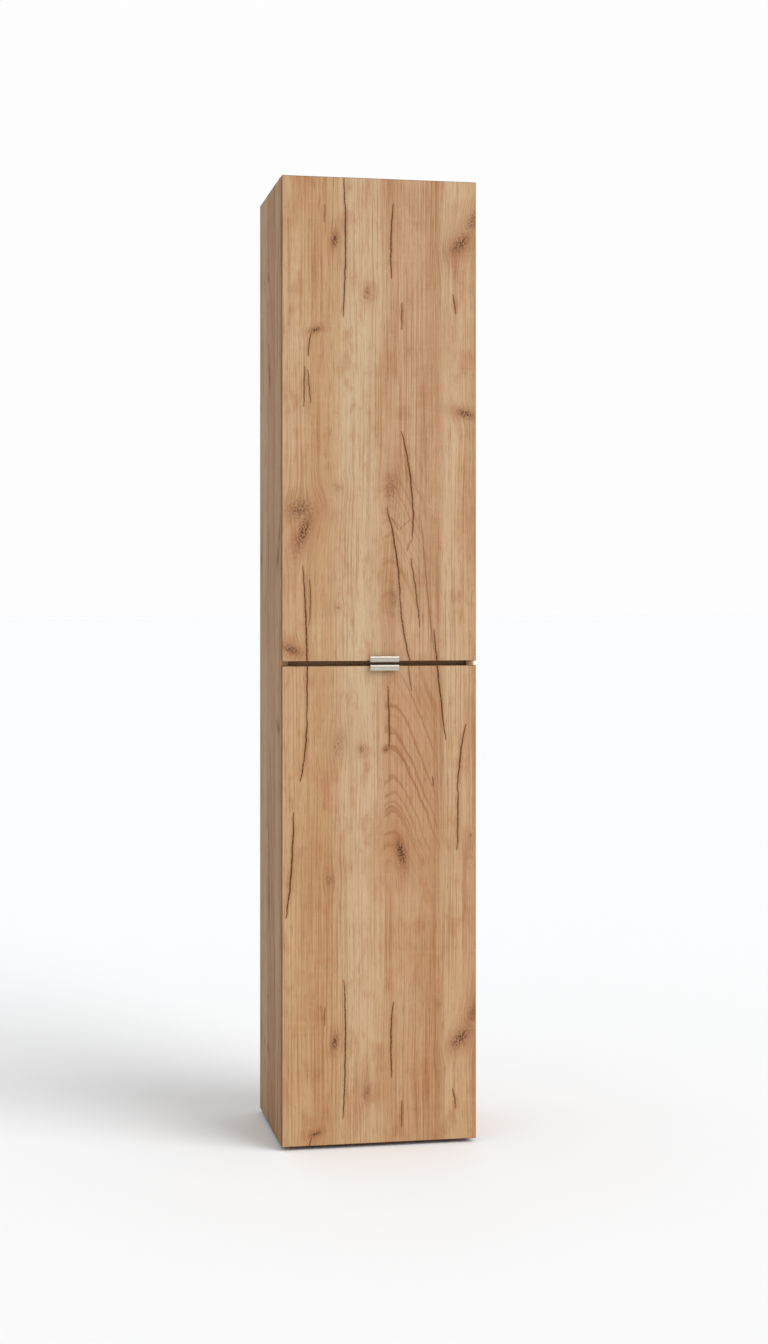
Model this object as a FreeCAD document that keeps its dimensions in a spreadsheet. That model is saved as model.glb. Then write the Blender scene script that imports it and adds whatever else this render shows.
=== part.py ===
import FreeCAD, Part

import os

import Sketcher
from FreeCAD import Rotation, Vector

# A tall pantry cabinet of coated board: a carcass with a fixed middle shelf, an upper and a
# lower door hung on concealed hinges at the right, metal edge pulls, loose shelves and feet.
# The frame has +Z up, the front towards -Y and its origin on the floor under the middle.

doc = FreeCAD.newDocument("pantry_cabinet")

SIZES = [
    # carcass
    ("width", 400, "outer width of the carcass"),
    ("height", 1950, "outer height of the carcass"),
    ("depth", 318, "carcass depth with its back panel"),
    ("board", 16, "thickness of the carcass boards"),
    ("back_board", 3, "thickness of the back panels"),
    ("back_margin", 2, "back panel's distance from the outer edges"),
    ("back_seam", 2, "gap between the two back panels"),
    ("shelf_setback", 18, "middle shelf's front edge behind the carcass front"),
    ("loose_setback", 24, "loose shelves' front edge behind the carcass front"),
    ("shelf_play", 0.5, "gap at each end of a loose shelf"),
    # doors
    ("door_board", 19, "thickness of a door"),
    ("door_gap", 3, "gap between the doors and the carcass"),
    ("reveal", 0.5, "door edge inside the carcass's outer side"),
    ("lower_door", 965, "height of the lower door"),
    ("meet_gap", 9, "gap between the two doors"),
    ("band", 1, "thickness of the doors' edge bands"),
    ("pad_reach", 2.7, "thickness of a door bumper"),
    ("pad_radius", 5, "radius of a door bumper"),
    ("pad_end", 40, "bumper's middle from a door's end"),
    # edge pulls
    ("pull_width", 59, "length of an edge pull"),
    ("pull_offset", 8.5, "edge pull's middle to the right of the door's middle"),
    ("pull_metal", 1.5, "thickness of the pull's metal"),
    ("pull_reach", 11, "pull's lip in front of the door"),
    ("pull_lip", 11.5, "height of the pull's lip"),
    ("pull_flange", 24, "height of the flange on the door's back"),
    ("pull_softening", 0.6, "rounding of the lip's long edges"),
    ("pull_screw_radius", 1.6, "radius of a pull screw's shank"),
    ("pull_screw_head", 2.4, "radius of a pull screw's head"),
    ("pull_screw", 14, "length of a pull screw"),
    # feet
    ("foot_height", 8, "height of a foot"),
    ("foot_width", 28, "width of a foot"),
    ("foot_length", 40, "length of a foot"),
    ("foot_front", 10, "front foot behind the carcass front"),
    ("foot_left", 4, "left feet's middle beyond the side panel"),
    ("foot_right", 20, "right feet's middle beyond the side panel"),
    ("foot_corner", 4, "rounding of a foot's corners"),
    ("foot_seat", 4, "plastic above the head of the foot's screw"),
    ("foot_well", 4.5, "radius of the hollow for the screw's head"),
    ("foot_screw", 16, "length of a foot screw"),
    ("foot_screw_head", 4, "radius of a foot screw's head"),
    # hinges
    ("hinge_end", 100, "hinge middle from a door's end"),
    ("cup_radius", 17.5, "radius of a hinge cup"),
    ("cup_depth", 12.8, "depth of a hinge cup"),
    ("cup_wall", 1.2, "wall of a hinge cup"),
    ("cup_edge", 22.5, "cup's middle from the door's edge"),
    ("cup_flange", 1, "thickness of the cup's flange"),
    ("cup_flange_width", 12, "width of the cup's flange"),
    ("cup_flange_length", 54, "length of the cup's flange"),
    ("cup_screw_step", 22.5, "cup screws from the cup's middle"),
    ("cup_screw", 13, "length of a cup screw"),
    ("arm_rise", 23, "hinge arm's top above the side panel"),
    ("arm_foot", 7, "hinge arm's edge above the side panel"),
    ("arm_length", 58, "hinge arm behind the carcass front"),
    ("arm_metal", 1.2, "thickness of the arm's metal"),
    ("arm_half", 6.2, "half of the arm's width"),
    ("pin_radius", 1, "radius of a hinge pin"),
    ("pin_play", 0.05, "clearance of a link on its pin"),
    ("eye_radius", 2, "radius of a link's eye"),
    ("plate_back", 37, "mounting plate's middle behind the carcass front"),
    ("plate_metal", 2, "thickness of the mounting plate"),
    ("plate_width", 16, "width of the mounting plate"),
    ("plate_length", 48, "length of the mounting plate"),
    ("plate_screw_step", 16, "plate screws from the plate's middle"),
    ("plate_screw", 15, "length of a plate screw"),
    # screws of the hinges, feet and bracket
    ("screw_radius", 1.75, "radius of a screw's shank"),
    ("screw_head", 3.2, "radius of a round screw head"),
    # loose shelves' pins
    ("peg_radius", 2.5, "radius of a shelf pin"),
    ("peg_depth", 10, "shelf pin in the side panel"),
    ("peg_reach", 9, "shelf pin under the shelf"),
    ("peg_back", 37, "shelf pins from the carcass's edges"),
    ("peg_pitch", 32, "distance between shelf pin holes"),
    # carcass fittings
    ("cam_radius", 7.5, "radius of a cam lock"),
    ("cam_depth", 12.5, "depth of a cam lock"),
    ("cam_reach", 34, "cam lock's middle from the board's end"),
    ("bolt_radius", 3, "radius of a cam bolt"),
    ("bolt_depth", 11, "cam bolt in the side panel"),
    ("dowel_radius", 4, "radius of a wooden dowel"),
    ("dowel_length", 30, "length of a wooden dowel"),
    ("dowel_depth", 10, "dowel in the side panel"),
    ("fitting_inset", 50, "cam locks from the carcass's edges"),
    ("dowel_step", 32, "dowel from its cam lock"),
    ("slot_length", 10, "length of the driver slot in a cam lock"),
    ("slot_width", 1.4, "width of the driver slot"),
    ("slot_depth", 1.6, "depth of the driver slot"),
    # nails of the back panels
    ("nail_length", 16, "length of a nail"),
    ("nail_radius", 0.75, "radius of a nail"),
    ("nail_head", 2, "radius of a nail's head"),
    ("nail_crown", 0.8, "height of a nail's head"),
    ("nail_edge", 4, "nails from the seam of the back panels"),
    # wall bracket
    ("bracket_width", 30, "width of the wall bracket"),
    ("bracket_leg", 24, "length of each leg of the bracket"),
    ("bracket_metal", 2, "thickness of the bracket"),
    ("anchor_radius", 2.75, "radius of the bracket's wall hole"),
    ("bracket_screw", 14, "length of a bracket screw"),
]

sheet = doc.addObject("Spreadsheet::Sheet", "Sizes")
for row, (alias, number, meaning) in enumerate(SIZES, start=1):
    sheet.set(f"A{row}", meaning)
    sheet.set(f"B{row}", str(number))
    sheet.setAlias(f"B{row}", alias)
doc.recompute()

# Planes and lines of the cabinet, worked out from the sheet.
FRONT = "((Sizes.pull_reach + Sizes.door_board + Sizes.door_gap - Sizes.depth) / 2)"
REAR = f"({FRONT} + Sizes.depth)"
HEADS = f"({REAR} - Sizes.nail_crown)"
BACK = f"({REAR} - Sizes.back_board)"
DOOR_BACK = f"({FRONT} - Sizes.door_gap)"
DOOR_FRONT = f"({DOOR_BACK} - Sizes.door_board)"
LEFT = "(-Sizes.width / 2)"
RIGHT = "(Sizes.width / 2)"
INNER_LEFT = f"({LEFT} + Sizes.board)"
INNER_RIGHT = f"({RIGHT} - Sizes.board)"
BOTTOM = "Sizes.foot_height"
TOP = "(Sizes.foot_height + Sizes.height)"
DOOR_LEFT = f"({LEFT} + Sizes.reveal)"
DOOR_RIGHT = f"({RIGHT} - Sizes.reveal)"
LOWER_TOP = f"({BOTTOM} + Sizes.lower_door)"
UPPER_BOTTOM = f"({LOWER_TOP} + Sizes.meet_gap)"
MIDDLE = f"({LOWER_TOP} + Sizes.meet_gap / 2 - Sizes.board / 2)"
PULL_MIDDLE = "Sizes.pull_offset"

DOORS = {"upper": (UPPER_BOTTOM, TOP), "lower": (BOTTOM, LOWER_TOP)}

# Undersides of the two loose shelves in each compartment, a third and two thirds up.
LOOSE = {}
for door, (low, high) in {
    "upper": (f"({MIDDLE} + Sizes.board)", f"({TOP} - Sizes.board)"),
    "lower": (f"({BOTTOM} + Sizes.board)", MIDDLE),
}.items():
    for third, place in ((1, "low"), (2, "high")):
        LOOSE[f"{door}_shelf_{place}"] = f"({low} + ({high} - {low}) * {third} / 3 - Sizes.board / 2)"


def size(expression):
    """The number an expression gives now, in millimetres."""
    return float(sheet.evalExpression(expression))


def bind(target, **properties):
    """Tie properties of an object to expressions; x, y and z are its place."""
    for name, expression in properties.items():
        path = f"Placement.Base.{name}" if name in ("x", "y", "z") else name
        target.setExpression(path, expression)
    return target


def label(target, name):
    target.Label = name
    return target


def block(x, y, z, length, width, height, name="block"):
    """A box from its lowest corner and its sizes along X, Y and Z."""
    box = doc.addObject("Part::Box", name)
    return bind(box, x=x, y=y, z=z, Length=length, Width=width, Height=height)


def rod(x, y, z, radius, length, axis, name="rod"):
    """A round bar that starts at a point and runs along an axis."""
    cylinder = doc.addObject("Part::Cylinder", name)
    turn = Rotation(Vector(0, 0, 1), Vector(*axis))
    cylinder.Placement.Rotation = turn
    return bind(cylinder, x=x, y=y, z=z, Radius=radius, Height=length)


def group(name, members):
    """Separate equal solids that share one node."""
    compound = doc.addObject("Part::Compound", name)
    compound.Links = members
    return label(compound, name)


def cut(name, base, tools):
    """A solid with holes."""
    holes = doc.addObject("Part::Compound", f"{name}_holes")
    holes.Links = tools
    result = doc.addObject("Part::Cut", name)
    result.Base = base
    result.Tool = holes
    return label(result, name)


def fuse(name, members):
    result = doc.addObject("Part::MultiFuse", name)
    result.Shapes = members
    return label(result, name)


def copies(name, master, places):
    """One node of copies of a master solid, each at its own place."""
    links = []
    for number, (x, y, z) in enumerate(places):
        link = doc.addObject("App::Link", f"{name}_{number}")
        link.LinkedObject = master
        links.append(bind(link, x=x, y=y, z=z))
    return group(name, links)


def body_with_sketch(name, plane):
    """A PartDesign body and an empty sketch on one of its origin planes."""
    body = doc.addObject("PartDesign::Body", name)
    return body, add_sketch(body, plane)


def add_sketch(body, plane):
    sketch = body.newObject("Sketcher::SketchObject", f"{body.Name}_sketch")
    support = next(f for f in body.Origin.OriginFeatures if f.Role == plane)
    sketch.AttachmentSupport = [(support, "")]
    sketch.MapMode = "FlatFace"
    return sketch


def pin_down(sketch, geometry, end, across, up):
    """Tie one point of a sketch to its two distances from the origin."""
    for kind, expression in (("DistanceX", across), ("DistanceY", up)):
        number = sketch.addConstraint(
            Sketcher.Constraint(kind, -1, 1, geometry, end, size(expression))
        )
        sketch.setExpression(f"Constraints[{number}]", expression)


def outline(sketch, corners):
    """A closed outline of straight lines through corners given as expressions."""
    points = [Vector(size(across), size(up), 0) for across, up in corners]
    lines = []
    for index, point in enumerate(points):
        following = points[(index + 1) % len(points)]
        lines.append(sketch.addGeometry(Part.LineSegment(point, following)))
    for index, line in enumerate(lines):
        following = lines[(index + 1) % len(lines)]
        sketch.addConstraint(Sketcher.Constraint("Coincident", line, 2, following, 1))
        pin_down(sketch, line, 1, *corners[index])


def circle(sketch, across, up, radius):
    middle = Vector(size(across), size(up), 0)
    number = sketch.addGeometry(Part.Circle(middle, Vector(0, 0, 1), size(radius)))
    pin_down(sketch, number, 3, across, up)
    reach = sketch.addConstraint(Sketcher.Constraint("Radius", number, size(radius)))
    sketch.setExpression(f"Constraints[{reach}]", radius)


def slot(sketch, start, end, radius):
    """A bar with round ends between two points."""
    first = Vector(size(start[0]), size(start[1]), 0)
    last = Vector(size(end[0]), size(end[1]), 0)
    along = (last - first).normalize()
    side = Vector(-along.y, along.x, 0) * size(radius)
    far = along * size(radius)
    edges = [
        Part.LineSegment(first + side, last + side),
        Part.Arc(last + side, last + far, last - side),
        Part.LineSegment(last - side, first - side),
        Part.Arc(first - side, first - far, first + side),
    ]
    numbers = [sketch.addGeometry(edge) for edge in edges]
    top, right, bottom, left = numbers
    # An arc drawn clockwise is stored turned round, so its ends are looked up by place.
    for line, arc, line_end in ((top, right, 2), (bottom, right, 1), (bottom, left, 2), (top, left, 1)):
        corner = sketch.getPoint(line, line_end)
        arc_end = min((1, 2), key=lambda e: (sketch.getPoint(arc, e) - corner).Length)
        sketch.addConstraint(Sketcher.Constraint("Tangent", line, line_end, arc, arc_end))
    pin_down(sketch, right, 3, *end)
    pin_down(sketch, left, 3, *start)
    reach = sketch.addConstraint(Sketcher.Constraint("Radius", right, size(radius)))
    sketch.setExpression(f"Constraints[{reach}]", radius)


def pad(body, sketch, length, middle=False, name="pad"):
    feature = body.newObject("PartDesign::Pad", f"{body.Name}_{name}")
    feature.Profile = sketch
    feature.Midplane = middle
    feature.setExpression("Length", length)
    return feature


def pocket(body, sketch, length, name="pocket"):
    feature = body.newObject("PartDesign::Pocket", f"{body.Name}_{name}")
    feature.Profile = sketch
    feature.Midplane = True
    feature.setExpression("Length", length)
    return feature


def turned(name, corners):
    """A PartDesign body turned about its own Z axis from half of its section."""
    body, sketch = body_with_sketch(name, "XZ_Plane")
    outline(sketch, corners)
    feature = body.newObject("PartDesign::Revolution", f"{name}_turn")
    feature.Profile = sketch
    feature.ReferenceAxis = (sketch, ["V_Axis"])
    feature.Angle = 360
    return body


def pan_screw(name, shank_radius, head_radius, length):
    """A round-headed screw along Z: its head sits on zero and it points up."""
    return turned(name, [
        ("0", f"{length}"),
        (f"{shank_radius} * 0.5", f"{length} - 2"),
        (f"{shank_radius}", f"{length} - 4"),
        (f"{shank_radius}", "0"),
        (f"{head_radius}", "0"),
        (f"{head_radius} * 0.8", f"-{head_radius} * 0.5"),
        ("0", f"-{head_radius} * 0.6"),
    ])


def turned_copies(name, master, places, axis):
    """Copies of a turned piece whose own Z points along an axis."""
    node = copies(name, master, places)
    for link in node.Links:
        link.Placement.Rotation = Rotation(Vector(0, 0, 1), Vector(*axis))
    return node


# Places of the fittings.
COLUMNS = [f"({FRONT} + Sizes.peg_back)", f"({BACK} - Sizes.peg_back)"]
FITTING_ROWS = [f"({FRONT} + Sizes.fitting_inset)", f"({BACK} - Sizes.fitting_inset)"]
DOWEL_ROWS = [f"({FITTING_ROWS[0]} + Sizes.dowel_step)", f"({FITTING_ROWS[1]} - Sizes.dowel_step)"]
CROSS_BOARDS = {
    "bottom_panel": (BOTTOM, "0"),
    "middle_shelf": (MIDDLE, "Sizes.shelf_setback"),
    "top_panel": (f"({TOP} - Sizes.board)", "0"),
}
SIDES = {
    # name: inner face, direction from the outside in
    "left": (INNER_LEFT, 1),
    "right": (INNER_RIGHT, -1),
}
ANCHOR_HEIGHT = f"({TOP} + (Sizes.bracket_leg + Sizes.bracket_metal) / 2)"
BRACKET_SCREW_X = ["-Sizes.bracket_width / 4", "Sizes.bracket_width / 4"]
BRACKET_SCREW_Y = f"({REAR} - Sizes.bracket_leg * 0.7)"
PULL_SCREWS = ["-Sizes.pull_width / 3", "Sizes.pull_width / 3"]


def side_panel(side):
    """A full-height side with blind holes for shelf pins, cam bolts and dowels."""
    inner, inward = SIDES[side]
    start = LEFT if side == "left" else INNER_RIGHT
    base = block(
        start, FRONT, BOTTOM,
        "Sizes.board", "Sizes.depth - Sizes.back_board", "Sizes.height",
    )
    axis = (-inward, 0, 0)
    holes = []
    for underside in LOOSE.values():
        for y in COLUMNS:
            for step in (-2, -1, 0, 1, 2):
                z = f"{underside} - Sizes.peg_radius + Sizes.peg_pitch * {step}"
                holes.append(rod(inner, y, z, "Sizes.peg_radius", "Sizes.peg_depth", axis))
    for underside, _ in CROSS_BOARDS.values():
        z = f"{underside} + Sizes.board / 2"
        for y in FITTING_ROWS:
            holes.append(rod(inner, y, z, "Sizes.bolt_radius", "Sizes.bolt_depth", axis))
        for y in DOWEL_ROWS:
            holes.append(rod(inner, y, z, "Sizes.dowel_radius", "Sizes.dowel_depth", axis))
    return cut(f"side_panel_{side}", base, holes)


def cross_board(name):
    """A fixed board between the sides, bored for its cams, bolts and dowels."""
    underside, setback = CROSS_BOARDS[name]
    base = block(
        INNER_LEFT, f"{FRONT} + {setback}", underside,
        f"{INNER_RIGHT} - {INNER_LEFT}",
        f"Sizes.depth - Sizes.back_board - {setback}",
        "Sizes.board",
    )
    z = f"{underside} + Sizes.board / 2"
    holes = []
    for inner, inward in SIDES.values():
        axis = (inward, 0, 0)
        for y in FITTING_ROWS:
            holes.append(rod(inner, y, z, "Sizes.bolt_radius", "Sizes.cam_reach", axis))
            x = f"{inner} + Sizes.cam_reach * {inward}"
            holes.append(rod(x, y, underside, "Sizes.cam_radius", "Sizes.cam_depth", (0, 0, 1)))
        for y in DOWEL_ROWS:
            reach = "Sizes.dowel_length - Sizes.dowel_depth"
            holes.append(rod(inner, y, z, "Sizes.dowel_radius", reach, axis))
    return cut(name, base, holes)


def carcass_fittings():
    """Cam locks, cam bolts and dowels that hold the fixed boards to the sides."""
    cams = []
    bolts = []
    dowels = []
    for underside, _ in CROSS_BOARDS.values():
        z = f"{underside} + Sizes.board / 2"
        for inner, inward in SIDES.values():
            axis = (inward, 0, 0)
            buried = f"{inner} - Sizes.bolt_depth * {inward}"
            for y in FITTING_ROWS:
                x = f"{inner} + Sizes.cam_reach * {inward}"
                drum = rod(x, y, underside, "Sizes.cam_radius", "Sizes.cam_depth", (0, 0, 1))
                mouth = rod(inner, y, z, "Sizes.bolt_radius", "Sizes.cam_reach", axis)
                driver_slot = block(
                    f"{x} - Sizes.slot_length / 2", f"{y} - Sizes.slot_width / 2", underside,
                    "Sizes.slot_length", "Sizes.slot_width", "Sizes.slot_depth",
                )
                cams.append(cut("cam", drum, [mouth, driver_slot]))
                reach = "Sizes.bolt_depth + Sizes.cam_reach"
                bolts.append(rod(buried, y, z, "Sizes.bolt_radius", reach, axis))
            for y in DOWEL_ROWS:
                x = f"{inner} - Sizes.dowel_depth * {inward}"
                dowels.append(rod(x, y, z, "Sizes.dowel_radius", "Sizes.dowel_length", axis))
    return [group("cam_locks", cams), group("cam_bolts", bolts), group("wooden_dowels", dowels)]


def back_panels():
    """Two thin panels nailed on the carcass's back, meeting behind the middle shelf."""
    seam = f"({MIDDLE} + Sizes.board / 2)"
    x = f"{LEFT} + Sizes.back_margin"
    width = "Sizes.width - 2 * Sizes.back_margin"
    low = f"({BOTTOM} + Sizes.back_margin)"
    high = f"({TOP} - Sizes.back_margin)"
    lower = label(block(
        x, BACK, low, width, "Sizes.back_board", f"{seam} - Sizes.back_seam / 2 - {low}",
    ), "back_panel_lower")
    start = f"({seam} + Sizes.back_seam / 2)"
    upper = label(
        block(x, BACK, start, width, "Sizes.back_board", f"{high} - {start}"), "back_panel_upper",
    )
    return [lower, upper]


def back_nails():
    """Round-headed nails through the back panels into the boards' edges."""
    master = turned("back_nail", [
        ("0", "-Sizes.nail_length"),
        ("Sizes.nail_radius", "-0.9 * Sizes.nail_length"),
        ("Sizes.nail_radius", "0"),
        ("Sizes.nail_head", "0"),
        ("Sizes.nail_head", "0.5 * Sizes.nail_crown"),
        ("0", "Sizes.nail_crown"),
    ])
    places = []
    seam = f"({MIDDLE} + Sizes.board / 2)"
    for x in (f"{LEFT} + Sizes.board / 2", f"{RIGHT} - Sizes.board / 2"):
        for low, high in ((BOTTOM, seam), (seam, TOP)):
            for part in (1, 3, 5, 7):
                places.append((x, HEADS, f"{low} + ({high} - {low}) * {part} / 8"))
    for x in ("-Sizes.width / 4", "Sizes.width / 4"):
        places.append((x, HEADS, f"{BOTTOM} + Sizes.board / 2"))
        places.append((x, HEADS, f"{seam} - Sizes.back_seam / 2 - Sizes.nail_edge"))
        places.append((x, HEADS, f"{seam} + Sizes.back_seam / 2 + Sizes.nail_edge"))
        places.append((x, HEADS, f"{TOP} - Sizes.board / 2"))
    return turned_copies("back_nails", master, places, (0, 1, 0))


def loose_shelf(name):
    """A shelf that lies on four pins."""
    board = block(
        f"{INNER_LEFT} + Sizes.shelf_play", f"{FRONT} + Sizes.loose_setback", LOOSE[name],
        f"{INNER_RIGHT} - {INNER_LEFT} - 2 * Sizes.shelf_play",
        f"Sizes.depth - Sizes.back_board - Sizes.loose_setback - Sizes.shelf_play",
        "Sizes.board",
    )
    return label(board, name)


def shelf_pins():
    pins = []
    for underside in LOOSE.values():
        z = f"{underside} - Sizes.peg_radius"
        for inner, inward in SIDES.values():
            x = f"{inner} - Sizes.peg_depth * {inward}"
            for y in COLUMNS:
                length = "Sizes.peg_depth + Sizes.peg_reach"
                pins.append(rod(x, y, z, "Sizes.peg_radius", length, (inward, 0, 0)))
    return group("shelf_pins", pins)


FOOT_LEFT = f"{INNER_LEFT} + Sizes.foot_left - Sizes.foot_width / 2"
FOOT_RIGHT = f"{INNER_RIGHT} - Sizes.foot_right - Sizes.foot_width / 2"
FOOT_FRONT = f"{FRONT} + Sizes.foot_front"
FOOT_REAR = f"{BACK} - Sizes.foot_front - Sizes.foot_length"
FOOT_PLACES = {
    "front_left": (FOOT_LEFT, FOOT_FRONT),
    "front_right": (FOOT_RIGHT, FOOT_FRONT),
    "rear_left": (FOOT_LEFT, FOOT_REAR),
    "rear_right": (FOOT_RIGHT, FOOT_REAR),
}


def foot(place):
    """A low plastic glide: a block with round corners and a hollow for its screw."""
    x, y = FOOT_PLACES[place]
    body, sketch = body_with_sketch(f"foot_{place}", "XY_Plane")
    outline(sketch, [
        (x, y),
        (f"{x} + Sizes.foot_width", y),
        (f"{x} + Sizes.foot_width", f"{y} + Sizes.foot_length"),
        (x, f"{y} + Sizes.foot_length"),
    ])
    solid = pad(body, sketch, "Sizes.foot_height")
    doc.recompute()
    upright = [
        f"Edge{number}" for number, edge in enumerate(solid.Shape.Edges, start=1)
        if abs(edge.tangentAt(edge.FirstParameter).z) > 0.9
    ]
    rounding = body.newObject("PartDesign::Fillet", f"foot_{place}_corners")
    rounding.Base = (solid, upright)
    rounding.setExpression("Radius", "Sizes.foot_corner")
    well = add_sketch(body, "XY_Plane")
    middle = (f"{x} + Sizes.foot_width / 2", f"{y} + Sizes.foot_length / 2")
    circle(well, *middle, "Sizes.foot_well")
    pocket(body, well, "2 * (Sizes.foot_height - Sizes.foot_seat)", "well")
    shaft = add_sketch(body, "XY_Plane")
    circle(shaft, *middle, "Sizes.screw_radius")
    pocket(body, shaft, "4 * Sizes.foot_height", "shaft")
    return label(body, f"foot_{place}")


def foot_screws():
    master = turned("foot_screw", [
        ("0", "Sizes.foot_screw"),
        ("Sizes.screw_radius", "0.75 * Sizes.foot_screw"),
        ("Sizes.screw_radius", "0"),
        ("Sizes.foot_screw_head", "0"),
        ("Sizes.foot_screw_head", "-0.25 * Sizes.foot_screw_head"),
        ("0", "-0.5 * Sizes.foot_screw_head"),
    ])
    places = []
    for x, y in FOOT_PLACES.values():
        places.append((
            f"{x} + Sizes.foot_width / 2",
            f"{y} + Sizes.foot_length / 2",
            "Sizes.foot_height - Sizes.foot_seat",
        ))
    return copies("foot_screws", master, places)


def wall_bracket():
    """A steel angle on the top panel: a wall screw goes through its upright leg."""
    x = "-Sizes.bracket_width / 2"
    flat = block(
        x, f"{REAR} - Sizes.bracket_leg", TOP,
        "Sizes.bracket_width", "Sizes.bracket_leg", "Sizes.bracket_metal",
    )
    wall_side = f"{REAR} - Sizes.bracket_metal"
    upright = block(
        x, wall_side, TOP,
        "Sizes.bracket_width", "Sizes.bracket_metal", "Sizes.bracket_leg",
    )
    angle = fuse("bracket_angle", [flat, upright])
    hole = rod("0", wall_side, ANCHOR_HEIGHT, "Sizes.anchor_radius", "Sizes.bracket_metal", (0, 1, 0))
    screws = [
        rod(x, BRACKET_SCREW_Y, TOP, "Sizes.screw_radius", "Sizes.bracket_metal", (0, 0, 1))
        for x in BRACKET_SCREW_X
    ]
    return cut("wall_bracket", angle, [hole] + screws)


def bracket_screws():
    master = pan_screw(
        "bracket_screw", "Sizes.screw_radius", "Sizes.screw_head", "Sizes.bracket_screw",
    )
    z = f"{TOP} + Sizes.bracket_metal"
    places = [(x, BRACKET_SCREW_Y, z) for x in BRACKET_SCREW_X]
    return turned_copies("bracket_screws", master, places, (0, 0, -1))


# Hinge geometry across the cabinet: where the links' pins stand when the door is shut.
ARM_PIN = (f"({INNER_RIGHT} - 12)", f"({FRONT} - 1)")
CUP_MIDDLE = f"({DOOR_RIGHT} - Sizes.cup_edge)"
CUP_PIN = (f"({CUP_MIDDLE} + 13)", f"({DOOR_BACK} - 3)")
LINK_BEND = (f"({CUP_MIDDLE} + 8.5)", f"({DOOR_BACK} - 7)")
INNER_PIN = (f"({CUP_MIDDLE} + 9.5)", f"({DOOR_BACK} - 9.3)")
INNER_BEND = (f"({CUP_MIDDLE} - 4.8)", f"({DOOR_BACK} - 8)")
INNER_END = (f"({INNER_RIGHT} - 16.5)", f"({FRONT} + 5)")
LINK_PLATE = ("3.6", "1.2")
PLATE_MIDDLE = f"({FRONT} + Sizes.plate_back)"


def hinge_heights(door):
    low, high = DOORS[door]
    return [f"({low} + Sizes.hinge_end)", f"({high} - Sizes.hinge_end)"]


def door_panel(door):
    """A coated board inside its edge bands, bored for two hinge cups."""
    low, high = DOORS[door]
    base = block(
        f"{DOOR_LEFT} + Sizes.band", DOOR_FRONT, f"{low} + Sizes.band",
        f"{DOOR_RIGHT} - {DOOR_LEFT} - 2 * Sizes.band",
        "Sizes.door_board",
        f"{high} - {low} - 2 * Sizes.band",
    )
    cups = [
        rod(CUP_MIDDLE, DOOR_BACK, z, "Sizes.cup_radius", "Sizes.cup_depth", (0, -1, 0))
        for z in hinge_heights(door)
    ]
    return cut(f"{door}_door_panel", base, cups)


def door_bands(door):
    """Four thin strips glued round the door's edge."""
    low, high = DOORS[door]
    upright = f"{high} - {low}"
    across = f"{DOOR_RIGHT} - {DOOR_LEFT} - 2 * Sizes.band"
    strips = []
    for x in (DOOR_LEFT, f"{DOOR_RIGHT} - Sizes.band"):
        strips.append(block(x, DOOR_FRONT, low, "Sizes.band", "Sizes.door_board", upright))
    for z in (low, f"{high} - Sizes.band"):
        x = f"{DOOR_LEFT} + Sizes.band"
        strips.append(block(x, DOOR_FRONT, z, across, "Sizes.door_board", "Sizes.band"))
    return group(f"{door}_door_edge_bands", strips)


def edge_pull(door):
    """Bent sheet over the door's edge: a flange behind, a flat and a lip in front."""
    low, high = DOORS[door]
    edge, away = (low, 1) if door == "upper" else (high, -1)
    behind = f"({DOOR_BACK} + Sizes.pull_metal)"
    lip = f"({DOOR_FRONT} - Sizes.pull_reach)"
    outside = f"({edge} - Sizes.pull_metal * {away})"
    body, sketch = body_with_sketch(f"{door}_pull", "YZ_Plane")
    outline(sketch, [
        (behind, outside),
        (behind, f"{edge} + Sizes.pull_flange * {away}"),
        (DOOR_BACK, f"{edge} + Sizes.pull_flange * {away}"),
        (DOOR_BACK, edge),
        (f"{lip} + Sizes.pull_metal", edge),
        (f"{lip} + Sizes.pull_metal", f"{outside} + Sizes.pull_lip * {away}"),
        (lip, f"{outside} + Sizes.pull_lip * {away}"),
        (lip, outside),
    ])
    sheet_metal = pad(body, sketch, "Sizes.pull_width", middle=True)
    doc.recompute()
    long_edges = [
        f"Edge{number}" for number, line in enumerate(sheet_metal.Shape.Edges, start=1)
        if abs(line.CenterOfMass.y - size(lip)) < 0.01
        and abs(line.tangentAt(line.FirstParameter).x) > 0.9
    ]
    softened = body.newObject("PartDesign::Fillet", f"{door}_pull_edges")
    softened.Base = (sheet_metal, long_edges)
    softened.setExpression("Radius", "Sizes.pull_softening")
    body.setExpression("Placement.Base.x", PULL_MIDDLE)
    drill = add_sketch(body, "XZ_Plane")
    drill.setExpression("AttachmentOffset.Base.z", f"-{DOOR_BACK}")
    for x in PULL_SCREWS:
        circle(drill, x, f"{edge} + Sizes.pull_flange / 2 * {away}", "Sizes.pull_screw_radius")
    pocket(body, drill, "4 * Sizes.pull_metal", "screw_holes")
    return label(body, f"{door}_pull")


def pull_screws(door):
    master = pan_screw(
        f"{door}_pull_screw", "Sizes.pull_screw_radius", "Sizes.pull_screw_head", "Sizes.pull_screw",
    )
    low, high = DOORS[door]
    edge, away = (low, 1) if door == "upper" else (high, -1)
    z = f"{edge} + Sizes.pull_flange / 2 * {away}"
    y = f"{DOOR_BACK} + Sizes.pull_metal"
    places = [(f"{PULL_MIDDLE} + {x}", y, z) for x in PULL_SCREWS]
    return turned_copies(f"{door}_pull_screws", master, places, (0, -1, 0))


def door_pads(door):
    """Soft pads on the door's back that meet the left side's front edge."""
    low, high = DOORS[door]
    x = f"{LEFT} + Sizes.board / 2"
    pads = [
        rod(x, DOOR_BACK, z, "Sizes.pad_radius", "Sizes.pad_reach", (0, 1, 0))
        for z in (f"{low} + Sizes.pad_end", f"{high} - Sizes.pad_end")
    ]
    return group(f"{door}_door_pads", pads)


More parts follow.
